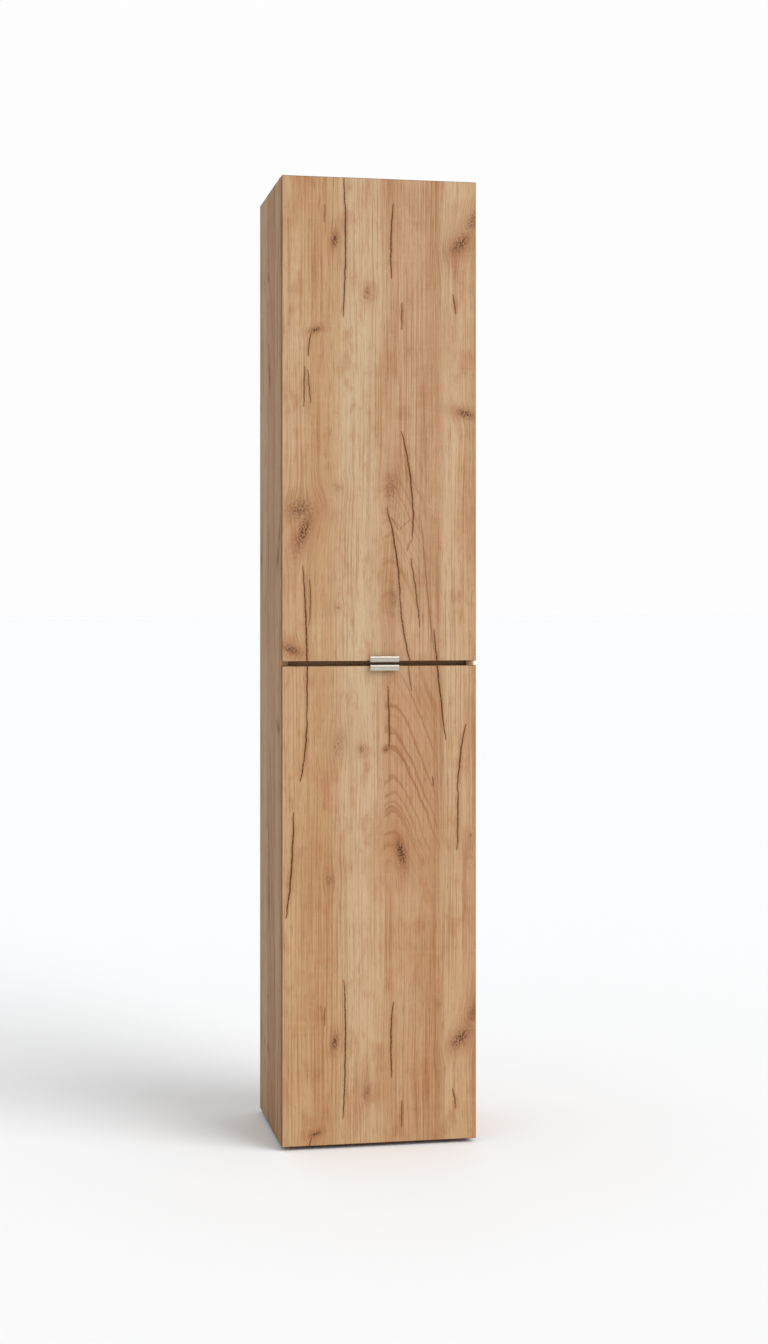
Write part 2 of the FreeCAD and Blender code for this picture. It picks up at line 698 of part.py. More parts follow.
def cup(door):
    """A round steel cup with a flange on the door's back and its two pins' bores."""
    master = f"{door}_cup_master"
    shell = rod(CUP_MIDDLE, DOOR_BACK, "0", "Sizes.cup_radius", "Sizes.cup_depth", (0, -1, 0))
    flange = block(
        f"{CUP_MIDDLE} - Sizes.cup_flange_width / 2", DOOR_BACK, "-Sizes.cup_flange_length / 2",
        "Sizes.cup_flange_width", "Sizes.cup_flange", "Sizes.cup_flange_length",
    )
    rim = rod(CUP_MIDDLE, DOOR_BACK, "0", "Sizes.cup_radius", "Sizes.cup_flange", (0, 1, 0))
    hollow = rod(
        CUP_MIDDLE, f"{DOOR_BACK} + Sizes.cup_flange", "0",
        "Sizes.cup_radius - Sizes.cup_wall",
        "Sizes.cup_depth - Sizes.cup_wall + Sizes.cup_flange", (0, -1, 0),
    )
    screws = [
        rod(CUP_MIDDLE, DOOR_BACK, z, "Sizes.screw_radius", "Sizes.cup_flange", (0, 1, 0))
        for z in ("-Sizes.cup_screw_step", "Sizes.cup_screw_step")
    ]
    solid = cut(master, fuse(f"{master}_solid", [shell, flange, rim]), [hollow] + screws)
    return copies(f"{door}_hinge_cups", solid, [("0", "0", z) for z in hinge_heights(door)])


def cup_pins(door):
    """Per cup, two short pins for the outer link's plates and a long one for the inner link."""
    pins = []
    for height in hinge_heights(door):
        pins += stub_pins(height, CUP_PIN, "9.4")
        z = f"{height} - 13"
        pins.append(rod(*INNER_PIN, z, "Sizes.pin_radius", "26", (0, 0, 1)))
    return group(f"{door}_cup_pins", pins)


def stub_pins(height, place, outer_end):
    """Two short pins on one line that leave the middle free for the inner link."""
    start = LINK_PLATE[0]
    length = f"{outer_end} - {start}"
    return [
        rod(*place, f"{height} + {start}", "Sizes.pin_radius", length, (0, 0, 1)),
        rod(*place, f"{height} - {outer_end}", "Sizes.pin_radius", length, (0, 0, 1)),
    ]


def cup_screws(door):
    master = pan_screw(
        f"{door}_cup_screw", "Sizes.screw_radius", "Sizes.screw_head", "Sizes.cup_screw",
    )
    y = f"{DOOR_BACK} + Sizes.cup_flange"
    places = [
        (CUP_MIDDLE, y, f"{height} {sign} Sizes.cup_screw_step")
        for height in hinge_heights(door) for sign in "-+"
    ]
    return turned_copies(f"{door}_cup_screws", master, places, (0, -1, 0))


def hinge_arm(door):
    """A pressed steel channel: its nose carries the links, its tail sits on the plate."""
    body, sketch = body_with_sketch(f"{door}_arm_master", "XY_Plane")
    high = f"({INNER_RIGHT} - Sizes.arm_rise)"
    low = f"({INNER_RIGHT} - Sizes.arm_foot)"
    tail = f"({FRONT} + Sizes.arm_length)"
    outline(sketch, [
        (high, tail),
        (high, f"{FRONT} + 8"),
        (f"{ARM_PIN[0]} - 3", f"{ARM_PIN[1]} - 3"),
        (f"{ARM_PIN[0]} + 3", f"{ARM_PIN[1]} - 3"),
        (low, f"{FRONT} + 8"),
        (low, tail),
    ])
    pad(body, sketch, "2 * Sizes.arm_half", middle=True)
    doc.recompute()
    channel = add_sketch(body, "XY_Plane")
    outline(channel, [
        (f"{high} + Sizes.arm_metal", f"{FRONT} - 8"),
        (f"{low} + 2", f"{FRONT} - 8"),
        (f"{low} + 2", f"{tail} + 2"),
        (f"{high} + Sizes.arm_metal", f"{tail} + 2"),
    ])
    pocket(body, channel, "2 * (Sizes.arm_half - Sizes.arm_metal)", "channel")
    doc.recompute()
    eye = add_sketch(body, "XY_Plane")
    circle(eye, *ARM_PIN, "Sizes.pin_radius")
    pocket(body, eye, "4 * Sizes.arm_half", "eye")
    places = [("0", "0", z) for z in hinge_heights(door)]
    return copies(f"{door}_hinge_arms", body, places)


def arm_pins(door):
    pins = []
    for height in hinge_heights(door):
        pins += stub_pins(height, ARM_PIN, "Sizes.arm_half")
    return group(f"{door}_arm_pins", pins)


def bent_link(name, corners, half_width, thickness, bored):
    """A flat link along bent centre lines, with an eye and a bore at each bored corner."""
    body, sketch = body_with_sketch(name, "XY_Plane")
    slot(sketch, corners[0], corners[1], half_width)
    pad(body, sketch, thickness, name="first_leg")
    doc.recompute()
    second = add_sketch(body, "XY_Plane")
    slot(second, corners[1], corners[2], half_width)
    pad(body, second, thickness, name="second_leg")
    doc.recompute()
    for corner in bored:
        eye = add_sketch(body, "XY_Plane")
        circle(eye, *corner, "Sizes.eye_radius")
        pad(body, eye, thickness, name="eye")
        doc.recompute()
    for corner in bored:
        bore = add_sketch(body, "XY_Plane")
        circle(bore, *corner, "Sizes.pin_radius + Sizes.pin_play")
        pocket(body, bore, f"4 * {thickness}", "bore")
        doc.recompute()
    return body


def outer_links(door):
    """Two bent plates per hinge, hooked so that the door's edge clears them."""
    start, thickness = LINK_PLATE
    corners = (CUP_PIN, LINK_BEND, ARM_PIN)
    plate = bent_link(f"{door}_outer_link_plate", corners, "1.2", thickness, (CUP_PIN, ARM_PIN))
    places = []
    for height in hinge_heights(door):
        places.append(("0", "0", f"{height} + {start}"))
        places.append(("0", "0", f"{height} - {start} - {thickness}"))
    return copies(f"{door}_outer_links", plate, places)


def inner_links(door):
    """A bent bar from the cup's long pin into the arm's channel, where its end is free."""
    corners = (INNER_PIN, INNER_BEND, INNER_END)
    bar = bent_link(f"{door}_inner_link_bar", corners, "1", "6", (INNER_PIN,))
    places = [("0", "0", f"{height} - 3") for height in hinge_heights(door)]
    return copies(f"{door}_inner_links", bar, places)


def hinge_plates(door):
    """A wing on the side panel with a rib that fills the arm's channel."""
    under = f"({INNER_RIGHT} - Sizes.plate_metal)"
    rib_top = f"({INNER_RIGHT} - Sizes.arm_rise + Sizes.arm_metal)"
    wing = block(
        under, f"{PLATE_MIDDLE} - Sizes.plate_width / 2", "-Sizes.plate_length / 2",
        "Sizes.plate_metal", "Sizes.plate_width", "Sizes.plate_length",
    )
    rib_half = "(Sizes.arm_half - Sizes.arm_metal)"
    rib = block(
        rib_top, f"{FRONT} + 26", f"-{rib_half}",
        f"{INNER_RIGHT} - {rib_top}", "Sizes.arm_length - 28", f"2 * {rib_half}",
    )
    solid = fuse(f"{door}_plate_solid", [wing, rib])
    screws = [
        rod(under, PLATE_MIDDLE, z, "Sizes.screw_radius", "Sizes.plate_metal", (1, 0, 0))
        for z in ("-Sizes.plate_screw_step", "Sizes.plate_screw_step")
    ]
    master = cut(f"{door}_plate_master", solid, screws)
    return copies(f"{door}_hinge_plates", master, [("0", "0", z) for z in hinge_heights(door)])


def plate_screws(door):
    master = pan_screw(
        f"{door}_plate_screw", "Sizes.screw_radius", "Sizes.screw_head", "Sizes.plate_screw",
    )
    places = [
        (f"{INNER_RIGHT} - Sizes.plate_metal", PLATE_MIDDLE, f"{height} {sign} Sizes.plate_screw_step")
        for height in hinge_heights(door) for sign in "-+"
    ]
    return turned_copies(f"{door}_plate_screws", master, places, (1, 0, 0))


def build():
    nodes = [side_panel("left"), side_panel("right")]
    nodes += [cross_board(name) for name in CROSS_BOARDS]
    nodes += carcass_fittings()
    nodes += back_panels()
    nodes += [back_nails()]
    nodes += [loose_shelf(name) for name in LOOSE]
    nodes += [shelf_pins()]
    nodes += [foot(place) for place in FOOT_PLACES]
    nodes += [foot_screws(), wall_bracket(), bracket_screws()]
    for door in DOORS:
        nodes += [door_panel(door), door_bands(door), edge_pull(door), pull_screws(door)]
        nodes += [door_pads(door), cup(door), cup_pins(door), cup_screws(door)]
        nodes += [hinge_arm(door), arm_pins(door), outer_links(door), inner_links(door)]
        nodes += [hinge_plates(door), plate_screws(door)]
    return nodes


def check(nodes):
    """Stop before anything is written if an object failed or a shape isn't sound."""
    for item in doc.Objects:
        if "Invalid" in item.State or "Error" in item.State:
            raise RuntimeError(f"{item.Name} ({item.Label}) did not build: {item.State}")
    for node in nodes:
        if node.Shape.isNull() or not node.Shape.isValid():
            raise RuntimeError(f"{node.Label} has no sound shape")


parts = build()
doc.recompute()
check(parts)
os.makedirs("parts", exist_ok=True)
for part in parts:
    part.Shape.exportStep(f"parts/{part.Label}.step")
print(len(parts), "nodes written")
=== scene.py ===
import math

import bpy
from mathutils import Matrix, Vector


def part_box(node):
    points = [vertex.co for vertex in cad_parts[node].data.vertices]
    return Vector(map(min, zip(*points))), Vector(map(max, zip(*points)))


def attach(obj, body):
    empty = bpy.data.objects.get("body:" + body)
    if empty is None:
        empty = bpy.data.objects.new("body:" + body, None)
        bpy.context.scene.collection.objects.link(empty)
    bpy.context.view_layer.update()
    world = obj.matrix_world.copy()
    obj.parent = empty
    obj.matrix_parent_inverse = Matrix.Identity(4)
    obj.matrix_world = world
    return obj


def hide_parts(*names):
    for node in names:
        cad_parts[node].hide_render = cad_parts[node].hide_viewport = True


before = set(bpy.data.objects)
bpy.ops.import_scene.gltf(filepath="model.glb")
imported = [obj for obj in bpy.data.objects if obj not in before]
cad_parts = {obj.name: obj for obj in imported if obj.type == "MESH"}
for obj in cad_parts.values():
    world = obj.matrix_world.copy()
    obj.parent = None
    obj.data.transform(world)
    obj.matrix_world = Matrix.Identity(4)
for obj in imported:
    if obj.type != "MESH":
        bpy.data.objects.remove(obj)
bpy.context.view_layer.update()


# --- Studio: camera, floor and light -------------------------------------------------------
# The cabinet stands on a pale seamless floor in front of a bright white backdrop. One broad
# soft light comes from the right and in front, so the left side falls into a warm half shade.

TURN = math.radians(10.79)
LENS = 55.6
CAMERA_DISTANCE = 4.161
CAMERA_LEFT = 0.2045
CAMERA_HEIGHT = 1.0955
LENS_SHIFT = -0.0498
FLOOR_SIZE = 400
KEY_PLACE = (3.0, -3.0, 3.2)
KEY_STRENGTH = 1.9
KEY_SPREAD = math.radians(45)


def srgb(red, green, blue):
    """A colour given as 0 to 255 screen values, in the linear values that shaders take."""
    values = []
    for channel in (red, green, blue):
        share = channel / 255
        values.append(share / 12.92 if share <= 0.04045 else ((share + 0.055) / 1.055) ** 2.4)
    return (*values, 1.0)


def aim(thing, target):
    """Turn a light towards a point."""
    direction = [t - p for t, p in zip(target, thing.location)]
    flat = math.hypot(direction[0], direction[1])
    tilt = math.atan2(flat, -direction[2])
    thing.rotation_euler = (tilt, 0, math.atan2(-direction[0], direction[1]))


door_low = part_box("upper_door_edge_bands")[0]
corner_x, door_front = door_low[0], door_low[1]
forward = (math.sin(TURN), math.cos(TURN))
camera_data = bpy.data.cameras.new("view")
camera_data.lens = LENS
camera_data.shift_y = LENS_SHIFT
camera = bpy.data.objects.new("view", camera_data)
camera.location = (
    corner_x - forward[0] * CAMERA_DISTANCE + forward[1] * CAMERA_LEFT,
    door_front - forward[1] * CAMERA_DISTANCE - forward[0] * CAMERA_LEFT,
    CAMERA_HEIGHT,
)
camera.rotation_euler = (math.pi / 2, 0, -TURN)
bpy.context.collection.objects.link(camera)
bpy.context.scene.camera = camera
bpy.context.scene.view_settings.view_transform = "Standard"

floor_paint = bpy.data.materials.new("floor_paint")
floor_paint.use_nodes = True
floor_shader = floor_paint.node_tree.nodes["Principled BSDF"]
floor_shader.inputs["Base Color"].default_value = srgb(242, 243, 244)
floor_shader.inputs["Roughness"].default_value = 0.8
floor_shader.inputs["Specular IOR Level"].default_value = 0.2

bpy.ops.object.select_all(action="DESELECT")
bpy.ops.mesh.primitive_plane_add(size=FLOOR_SIZE, location=(0, 0, 0))
studio_floor = bpy.context.object
studio_floor.name = "studio_floor"
studio_floor.data.materials.append(floor_paint)

# The room is grey-white all round, and white where the backdrop hangs behind the cabinet. What
# the camera itself sees beyond the floor is backdrop from every side.
ROOM_LIGHT = 0.72
BACKDROP_LIGHT = 0.985
BACKDROP_EDGE = (0.70, 0.86)
room = bpy.data.worlds.new("studio")
bpy.context.scene.world = room
room.use_nodes = True
room_nodes = room.node_tree.nodes
outlook = room_nodes.new("ShaderNodeTexCoord")
axes = room_nodes.new("ShaderNodeSeparateXYZ")
backdrop = room_nodes.new("ShaderNodeMapRange")
backdrop.interpolation_type = "SMOOTHSTEP"
for socket, number in (
    ("From Min", BACKDROP_EDGE[0]), ("From Max", BACKDROP_EDGE[1]),
    ("To Min", ROOM_LIGHT), ("To Max", BACKDROP_LIGHT),
):
    backdrop.inputs[socket].default_value = number
room.node_tree.links.new(outlook.outputs["Generated"], axes.inputs["Vector"])
room.node_tree.links.new(axes.outputs["Y"], backdrop.inputs["Value"])
sight = room_nodes.new("ShaderNodeLightPath")
seen = room_nodes.new("ShaderNodeMath")
seen.operation = "MULTIPLY"
seen.inputs[1].default_value = BACKDROP_LIGHT
brightest = room_nodes.new("ShaderNodeMath")
brightest.operation = "MAXIMUM"
room.node_tree.links.new(sight.outputs["Is Camera Ray"], seen.inputs[0])
room.node_tree.links.new(backdrop.outputs["Result"], brightest.inputs[0])
room.node_tree.links.new(seen.outputs["Value"], brightest.inputs[1])
room.node_tree.links.new(brightest.outputs["Value"], room_nodes["Background"].inputs["Strength"])
room_nodes["Background"].inputs["Color"].default_value = (1, 1, 1, 1)

key_data = bpy.data.lights.new("key_light", "SUN")
key_data.energy = KEY_STRENGTH
key_data.angle = KEY_SPREAD
key = bpy.data.objects.new("key_light", key_data)
key.location = KEY_PLACE
aim(key, (0, 0, 0))
bpy.context.collection.objects.link(key)


# --- Boards ----------------------------------------------------------------------------------
# Every board is chipboard with an oak print pressed on: staves about 100 mm wide in honey and
# reddish tones, knots, dark filled cracks and a cathedral figure. The print runs along the board
# and repeats every 1617 mm, so the cabinet's top shows the same knots as its foot.

PRINT_REPEAT = 1.617
PRINT_WIDTH = 0.4
ARCH_MIDDLE = 0.231
ARCH_ROUND = 0.00022
ARCH_SLOPE = 1.7
ARCH_LEAN = 0.75
STAVE_TONES = [
    # metres from the print's left edge, tone there
    (0.000, (209, 172, 133)),
    (0.028, (208, 169, 128)),
    (0.070, (202, 159, 117)),
    (0.100, (204, 163, 122)),
    (0.122, (212, 180, 142)),
    (0.165, (216, 184, 148)),
    (0.198, (211, 177, 139)),
    (0.216, (202, 160, 122)),
    (0.255, (208, 168, 131)),
    (0.300, (200, 157, 119)),
    (0.318, (195, 149, 111)),
    (0.334, (212, 178, 140)),
    (0.372, (211, 174, 135)),
    (0.400, (201, 155, 117)),
]
# Knots: across and up the print, half width and half height, lean, darkness (metres).
KNOTS = [
    (0.107, 0.207, 0.006, 0.014, 0.15, 1.1),
    (0.172, 0.102, 0.007, 0.017, 0.15, 0.55),
    (0.367, 0.206, 0.014, 0.020, 0.6, 0.95),
    (0.398, 0.258, 0.013, 0.022, 0.6, 0.8),
    (0.068, 0.024, 0.009, 0.006, 0.9, 1.0),
    (0.378, 1.477, 0.015, 0.009, -0.9, 1.0),
    (0.036, 1.280, 0.024, 0.020, 0.2, 0.7),
    (0.044, 1.236, 0.012, 0.034, 0.35, 0.95),
    (0.019, 0.998, 0.015, 0.011, -0.9, 1.0),
    (0.212, 0.795, 0.005, 0.005, 0.0, 0.9),
    (0.161, 0.797, 0.006, 0.007, 0.0, 0.6),
    (0.115, 0.808, 0.010, 0.024, 0.1, 0.35),
    (0.243, 0.587, 0.008, 0.024, -0.2, 1.4),
    (0.097, 0.534, 0.008, 0.012, 0.0, 0.45),
    (0.387, 0.618, 0.005, 0.006, 0.0, 0.45),
    (0.223, 1.328, 0.012, 0.026, 0.1, 0.45),
    (0.229, 1.105, 0.014, 0.030, 0.0, 0.35),
    (0.116, 1.325, 0.010, 0.010, 0.0, 0.3),
    (0.114, 1.083, 0.006, 0.006, 0.0, 0.4),
]
# Cracks: lower end and upper end (across, up), sideways bow, half width, darkness.
CRACKS = [
    ((0.124, 0.050), (0.126, 0.333), 0.004, 0.0013, 0.85),
    ((0.224, 0.130), (0.227, 0.284), -0.003, 0.0013, 0.85),
    ((0.245, 0.028), (0.245, 0.084), 0.000, 0.0010, 0.75),
    ((0.357, 0.062), (0.350, 0.104), 0.001, 0.0011, 0.7),
    ((0.053, -0.030), (0.060, 0.018), -0.002, 0.0010, 0.8),
    ((0.086, 0.240), (0.087, 0.278), 0.000, 0.0013, 0.45),
    ((0.044, 1.485), (0.046, 1.568), 0.000, 0.0011, 0.7),
    ((0.058, 1.493), (0.052, 1.562), 0.000, 0.0010, 0.7),
    ((0.268, 1.262), (0.244, 1.440), 0.006, 0.0015, 0.8),
    ((0.266, 1.225), (0.269, 1.280), 0.001, 0.0014, 0.7),
    ((0.241, 1.098), (0.214, 1.284), 0.006, 0.0015, 0.8),
    ((0.265, 0.962), (0.241, 1.104), -0.004, 0.0014, 0.8),
    ((0.282, 1.042), (0.263, 1.184), 0.002, 0.0012, 0.7),
    ((0.314, 0.976), (0.285, 1.262), -0.002, 0.0010, 0.4),
    ((0.336, 0.812), (0.311, 1.040), -0.001, 0.0014, 0.85),
    ((0.050, 0.850), (0.042, 1.168), 0.004, 0.0014, 0.85),
    ((0.037, 0.732), (0.051, 0.860), 0.003, 0.0014, 0.85),
    ((0.054, 1.045), (0.056, 1.140), 0.003, 0.0010, 0.65),
    ((0.008, 0.458), (0.023, 0.672), 0.004, 0.0016, 0.85),
    ((0.219, 0.796), (0.216, 0.924), 0.001, 0.0013, 0.8),
    ((0.265, 0.912), (0.258, 0.966), 0.000, 0.0010, 0.6),
    ((0.360, 0.588), (0.361, 0.724), 0.001, 0.0014, 0.8),
    ((0.360, 0.706), (0.378, 0.846), -0.003, 0.0015, 0.8),
    ((0.311, 0.718), (0.308, 0.740), 0.000, 0.0012, 0.6),
    ((0.222, 1.266), (0.236, 1.240), 0.001, 0.0011, 0.4),
    ((0.238, 1.238), (0.264, 1.262), -0.001, 0.0010, 0.35),
    ((0.254, 1.196), (0.268, 1.226), 0.000, 0.0010, 0.4),
]


def new_group(name, inputs, outputs):
    """A shader node group; each socket is given as its name and kind, such as Float."""
    tree = bpy.data.node_groups.new(name, "ShaderNodeTree")
    for direction, sockets in (("INPUT", inputs), ("OUTPUT", outputs)):
        for socket_name, kind in sockets:
            tree.interface.new_socket(
                name=socket_name, in_out=direction, socket_type=f"NodeSocket{kind}",
            )
    inside = tree.nodes.new("NodeGroupInput")
    outside = tree.nodes.new("NodeGroupOutput")
    return tree, inside.outputs, outside.inputs


def feed(tree, socket, value):
    """Set a socket, or link it if the value is another socket."""
    if isinstance(value, bpy.types.NodeSocket):
        tree.links.new(value, socket)
    else:
        socket.default_value = value


def math_node(tree, operation, first, second=None, third=None):
    node = tree.nodes.new("ShaderNodeMath")
    node.operation = operation
    for socket, value in zip(node.inputs, (first, second, third)):
        if value is not None:
            feed(tree, socket, value)
    return node.outputs[0]


def stepped(tree, value, low, high, low_value=0.0, high_value=1.0):
    """A smooth step of a value between two limits."""
    node = tree.nodes.new("ShaderNodeMapRange")
    node.interpolation_type = "SMOOTHSTEP"
    for name, number in (
        ("Value", value), ("From Min", low), ("From Max", high),
        ("To Min", low_value), ("To Max", high_value),
    ):
        feed(tree, node.inputs[name], number)
    return node.outputs["Result"]


def noise(tree, vector, scale, detail, roughness):
    node = tree.nodes.new("ShaderNodeTexNoise")
    feed(tree, node.inputs["Vector"], vector)
    node.inputs["Scale"].default_value = scale
    node.inputs["Detail"].default_value = detail
    node.inputs["Roughness"].default_value = roughness
    return node.outputs["Fac"]


def joined(tree, x, y, z):
    node = tree.nodes.new("ShaderNodeCombineXYZ")
    for socket, value in zip(node.inputs, (x, y, z)):
        feed(tree, socket, value)
    return node.outputs["Vector"]


def mixed(tree, blend, share, first, second):
    node = tree.nodes.new("ShaderNodeMix")
    node.data_type = "RGBA"
    node.blend_type = blend
    feed(tree, node.inputs["Factor"], share)
    feed(tree, node.inputs["A"], first)
    feed(tree, node.inputs["B"], second)
    return node.outputs["Result"]


def placed(tree, group, **values):
    """Put a group into a tree and feed its sockets, whose names' spaces are underscores."""
    node = tree.nodes.new("ShaderNodeGroup")
    node.node_tree = group
    for name, value in values.items():
        feed(tree, node.inputs[name.replace("_", " ")], value)
    return node.outputs


# Each crack and knot takes a grain of the one before it, so a shader works them out in turn
# and keeps only one at a time in its memory.
IN_TURN = 1e-7

# One filled crack: a thin bowed line that tapers at both ends, laid over what came before.
crack_group, given, result = new_group(
    "Filled crack",
    [(name, "Float") for name in (
        "Before", "Glow before", "Across", "Along", "Low across", "Low along",
        "High across", "High along", "Bow", "Half width", "Darkness",
    )],
    [("Cracks", "Float"), ("Glow", "Float")],
)
length = math_node(crack_group, "SUBTRACT", given["High along"], given["Low along"])
level = math_node(crack_group, "MULTIPLY_ADD", given["Before"], IN_TURN, given["Along"])
climb = math_node(crack_group, "SUBTRACT", level, given["Low along"])
share = math_node(crack_group, "DIVIDE", climb, length)
rest = math_node(crack_group, "SUBTRACT", 1.0, share)
belly = math_node(crack_group, "MULTIPLY", share, rest)
belly = math_node(crack_group, "MULTIPLY", belly, 4.0)
lean = math_node(crack_group, "SUBTRACT", given["High across"], given["Low across"])
line = math_node(crack_group, "MULTIPLY_ADD", lean, share, given["Low across"])
line = math_node(crack_group, "MULTIPLY_ADD", given["Bow"], belly, line)
gap = math_node(crack_group, "SUBTRACT", given["Across"], line)
gap = math_node(crack_group, "ABSOLUTE", gap)
taper = math_node(crack_group, "MAXIMUM", belly, 0.0)
taper = math_node(crack_group, "POWER", taper, 0.4)
reach = math_node(crack_group, "MULTIPLY_ADD", given["Half width"], taper, 0.0002)
edge = math_node(crack_group, "DIVIDE", gap, reach)
inside = math_node(crack_group, "GREATER_THAN", belly, 0.0)
inside = math_node(crack_group, "MULTIPLY", inside, given["Darkness"])
depth = stepped(crack_group, edge, 0.5, 1.4, 1.0, 0.0)
depth = math_node(crack_group, "MULTIPLY", depth, inside)
glow = stepped(crack_group, edge, 6.0, 0.8)
glow = math_node(crack_group, "MULTIPLY", glow, inside)
feed(crack_group, result["Glow"], math_node(crack_group, "MAXIMUM", glow, given["Glow before"]))
feed(crack_group, result["Cracks"], math_node(crack_group, "MAXIMUM", depth, given["Before"]))

# One knot: a dark heart, a warm halo and the push that bends the grain round it.
knot_group, given, result = new_group(
    "Knot",
    [(name, "Float") for name in (
        "Heart before", "Halo before", "Push before", "Across", "Along", "Middle across",
        "Middle along", "Half width", "Half height", "Lean", "Darkness",
    )],
    [("Heart", "Float"), ("Halo", "Float"), ("Push", "Float")],
)
level = math_node(knot_group, "MULTIPLY_ADD", given["Heart before"], IN_TURN, given["Along"])
rise = math_node(knot_group, "SUBTRACT", level, given["Middle along"])
level = math_node(knot_group, "MULTIPLY_ADD", given["Heart before"], IN_TURN, given["Across"])
side = math_node(knot_group, "SUBTRACT", level, given["Middle across"])
slant = math_node(knot_group, "MULTIPLY", rise, given["Lean"])
side = math_node(knot_group, "SUBTRACT", side, slant)
wide = math_node(knot_group, "DIVIDE", side, given["Half width"])
tall = math_node(knot_group, "DIVIDE", rise, given["Half height"])
wide = math_node(knot_group, "MULTIPLY", wide, wide)
spread = math_node(knot_group, "MULTIPLY_ADD", tall, tall, wide)
heart = math_node(knot_group, "MULTIPLY", spread, -1.3)
heart = math_node(knot_group, "EXPONENT", heart)
heart = math_node(knot_group, "MULTIPLY", heart, given["Darkness"])
halo = math_node(knot_group, "MULTIPLY", spread, -0.22)
halo = math_node(knot_group, "EXPONENT", halo)
push = math_node(knot_group, "MULTIPLY", halo, side)
halo = math_node(knot_group, "MULTIPLY", halo, given["Darkness"])
heart = math_node(knot_group, "MAXIMUM", heart, given["Heart before"])
halo = math_node(knot_group, "MAXIMUM", halo, given["Halo before"])
push = math_node(knot_group, "MULTIPLY_ADD", push, 0.55, given["Push before"])
feed(knot_group, result["Heart"], heart)
feed(knot_group, result["Halo"], halo)
feed(knot_group, result["Push"], push)

# The whole print: across in X, up the grain in Z, both in metres from the print's corner.
oak_group, given, result = new_group(
    "Oak print",
    [("Place", "Vector"), ("Seed", "Float"), ("Tint", "Color")],
    [("Colour", "Color"), ("Roughness", "Float"), ("Height", "Float")],
)
split = oak_group.nodes.new("ShaderNodeSeparateXYZ")
oak_group.links.new(given["Place"], split.inputs["Vector"])
across, along_raw = split.outputs["X"], split.outputs["Z"]
along = math_node(oak_group, "WRAP", along_raw, PRINT_REPEAT - 0.04, -0.04)

# The stave edges wander slowly across the print, and knots and cracks shake a little.
slow = joined(oak_group, math_node(oak_group, "MULTIPLY", across, 6.0), given["Seed"],
              math_node(oak_group, "MULTIPLY", along_raw, 2.2))
wander = noise(oak_group, slow, 1.0, 2.0, 0.5)
wander = math_node(oak_group, "SUBTRACT", wander, 0.5)
shifted = math_node(oak_group, "MULTIPLY_ADD", wander, 0.012, across)
quick = joined(oak_group, math_node(oak_group, "MULTIPLY", across, 20.0), given["Seed"],
               math_node(oak_group, "MULTIPLY", along_raw, 55.0))
jitter = noise(oak_group, quick, 1.0, 3.0, 0.5)
jitter = math_node(oak_group, "SUBTRACT", jitter, 0.5)
crooked = math_node(oak_group, "MULTIPLY_ADD", jitter, 0.0045, across)

heart, halo, push = 0.0, 0.0, 0.0
for x, z, half_width, half_height, slant, darkness in KNOTS:
    knot = placed(
        oak_group, knot_group, Heart_before=heart, Halo_before=halo, Push_before=push,
        Across=crooked, Along=along, Middle_across=x, Middle_along=z,
        Half_width=half_width, Half_height=half_height, Lean=slant, Darkness=darkness,
    )
    heart, halo, push = knot["Heart"], knot["Halo"], knot["Push"]

cracks, glow = 0.0, 0.0
for (low_x, low_z), (high_x, high_z), bow, half_width, darkness in CRACKS:
    crack = placed(
        oak_group, crack_group, Before=cracks, Glow_before=glow, Across=crooked, Along=along,
        Low_across=low_x, Low_along=low_z, High_across=high_x, High_along=high_z,
        Bow=bow, Half_width=half_width, Darkness=darkness,
    )
    cracks, glow = crack["Cracks"], crack["Glow"]

flow = math_node(oak_group, "SUBTRACT", shifted, push)


def grain_noise(across_share, along_share, detail, roughness, seed_shift=0.0):
    """Noise stretched along the grain; the shares are cycles per metre."""
    place = joined(
        oak_group,
        math_node(oak_group, "MULTIPLY", flow, across_share),
        math_node(oak_group, "ADD", given["Seed"], seed_shift),
        math_node(oak_group, "MULTIPLY", along_raw, along_share),
    )
    return noise(oak_group, place, 1.0, detail, roughness)


def tinted(share, strength, colour, tone, blend="MIX"):
    """Lay a tone over the print where a mask says."""
    masked = math_node(oak_group, "MULTIPLY", share, strength)
    return mixed(oak_group, blend, masked, colour, srgb(*tone))


# Tones of the staves, whose edges wander, with slow clouds of warmer and paler wood.
clouds = grain_noise(11.0, 4.5, 5.0, 0.62)
drift = math_node(oak_group, "SUBTRACT", clouds, 0.5)
drift = math_node(oak_group, "MULTIPLY_ADD", drift, 0.045, shifted)
ramp = oak_group.nodes.new("ShaderNodeValToRGB")
feed(oak_group, ramp.inputs["Fac"], math_node(oak_group, "DIVIDE", drift, PRINT_WIDTH))
ramp.color_ramp.elements.remove(ramp.color_ramp.elements[1])
ramp.color_ramp.elements[0].color = srgb(*STAVE_TONES[0][1])
for x, tone in STAVE_TONES[1:]:
    ramp.color_ramp.elements.new(x / PRINT_WIDTH).color = srgb(*tone)
colour = ramp.outputs["Color"]
blotches = grain_noise(26.0, 13.0, 4.0, 0.6, 3.0)
colour = tinted(stepped(oak_group, clouds, 0.48, 0.70), 0.5, colour, (192, 141, 100))
colour = tinted(stepped(oak_group, clouds, 0.46, 0.28), 0.45, colour, (220, 190, 154))
colour = tinted(stepped(oak_group, blotches, 0.50, 0.68), 0.52, colour, (188, 134, 95))
ripples = grain_noise(16.0, 95.0, 2.0, 0.5, 5.0)
colour = tinted(stepped(oak_group, ripples, 0.50, 0.72), 0.13, colour, (222, 186, 148))

# The foot of the print is a little warmer than its head.
colour = tinted(stepped(oak_group, along_raw, 1.1, 0.3), 1.0, colour, (252, 247, 240), "MULTIPLY")

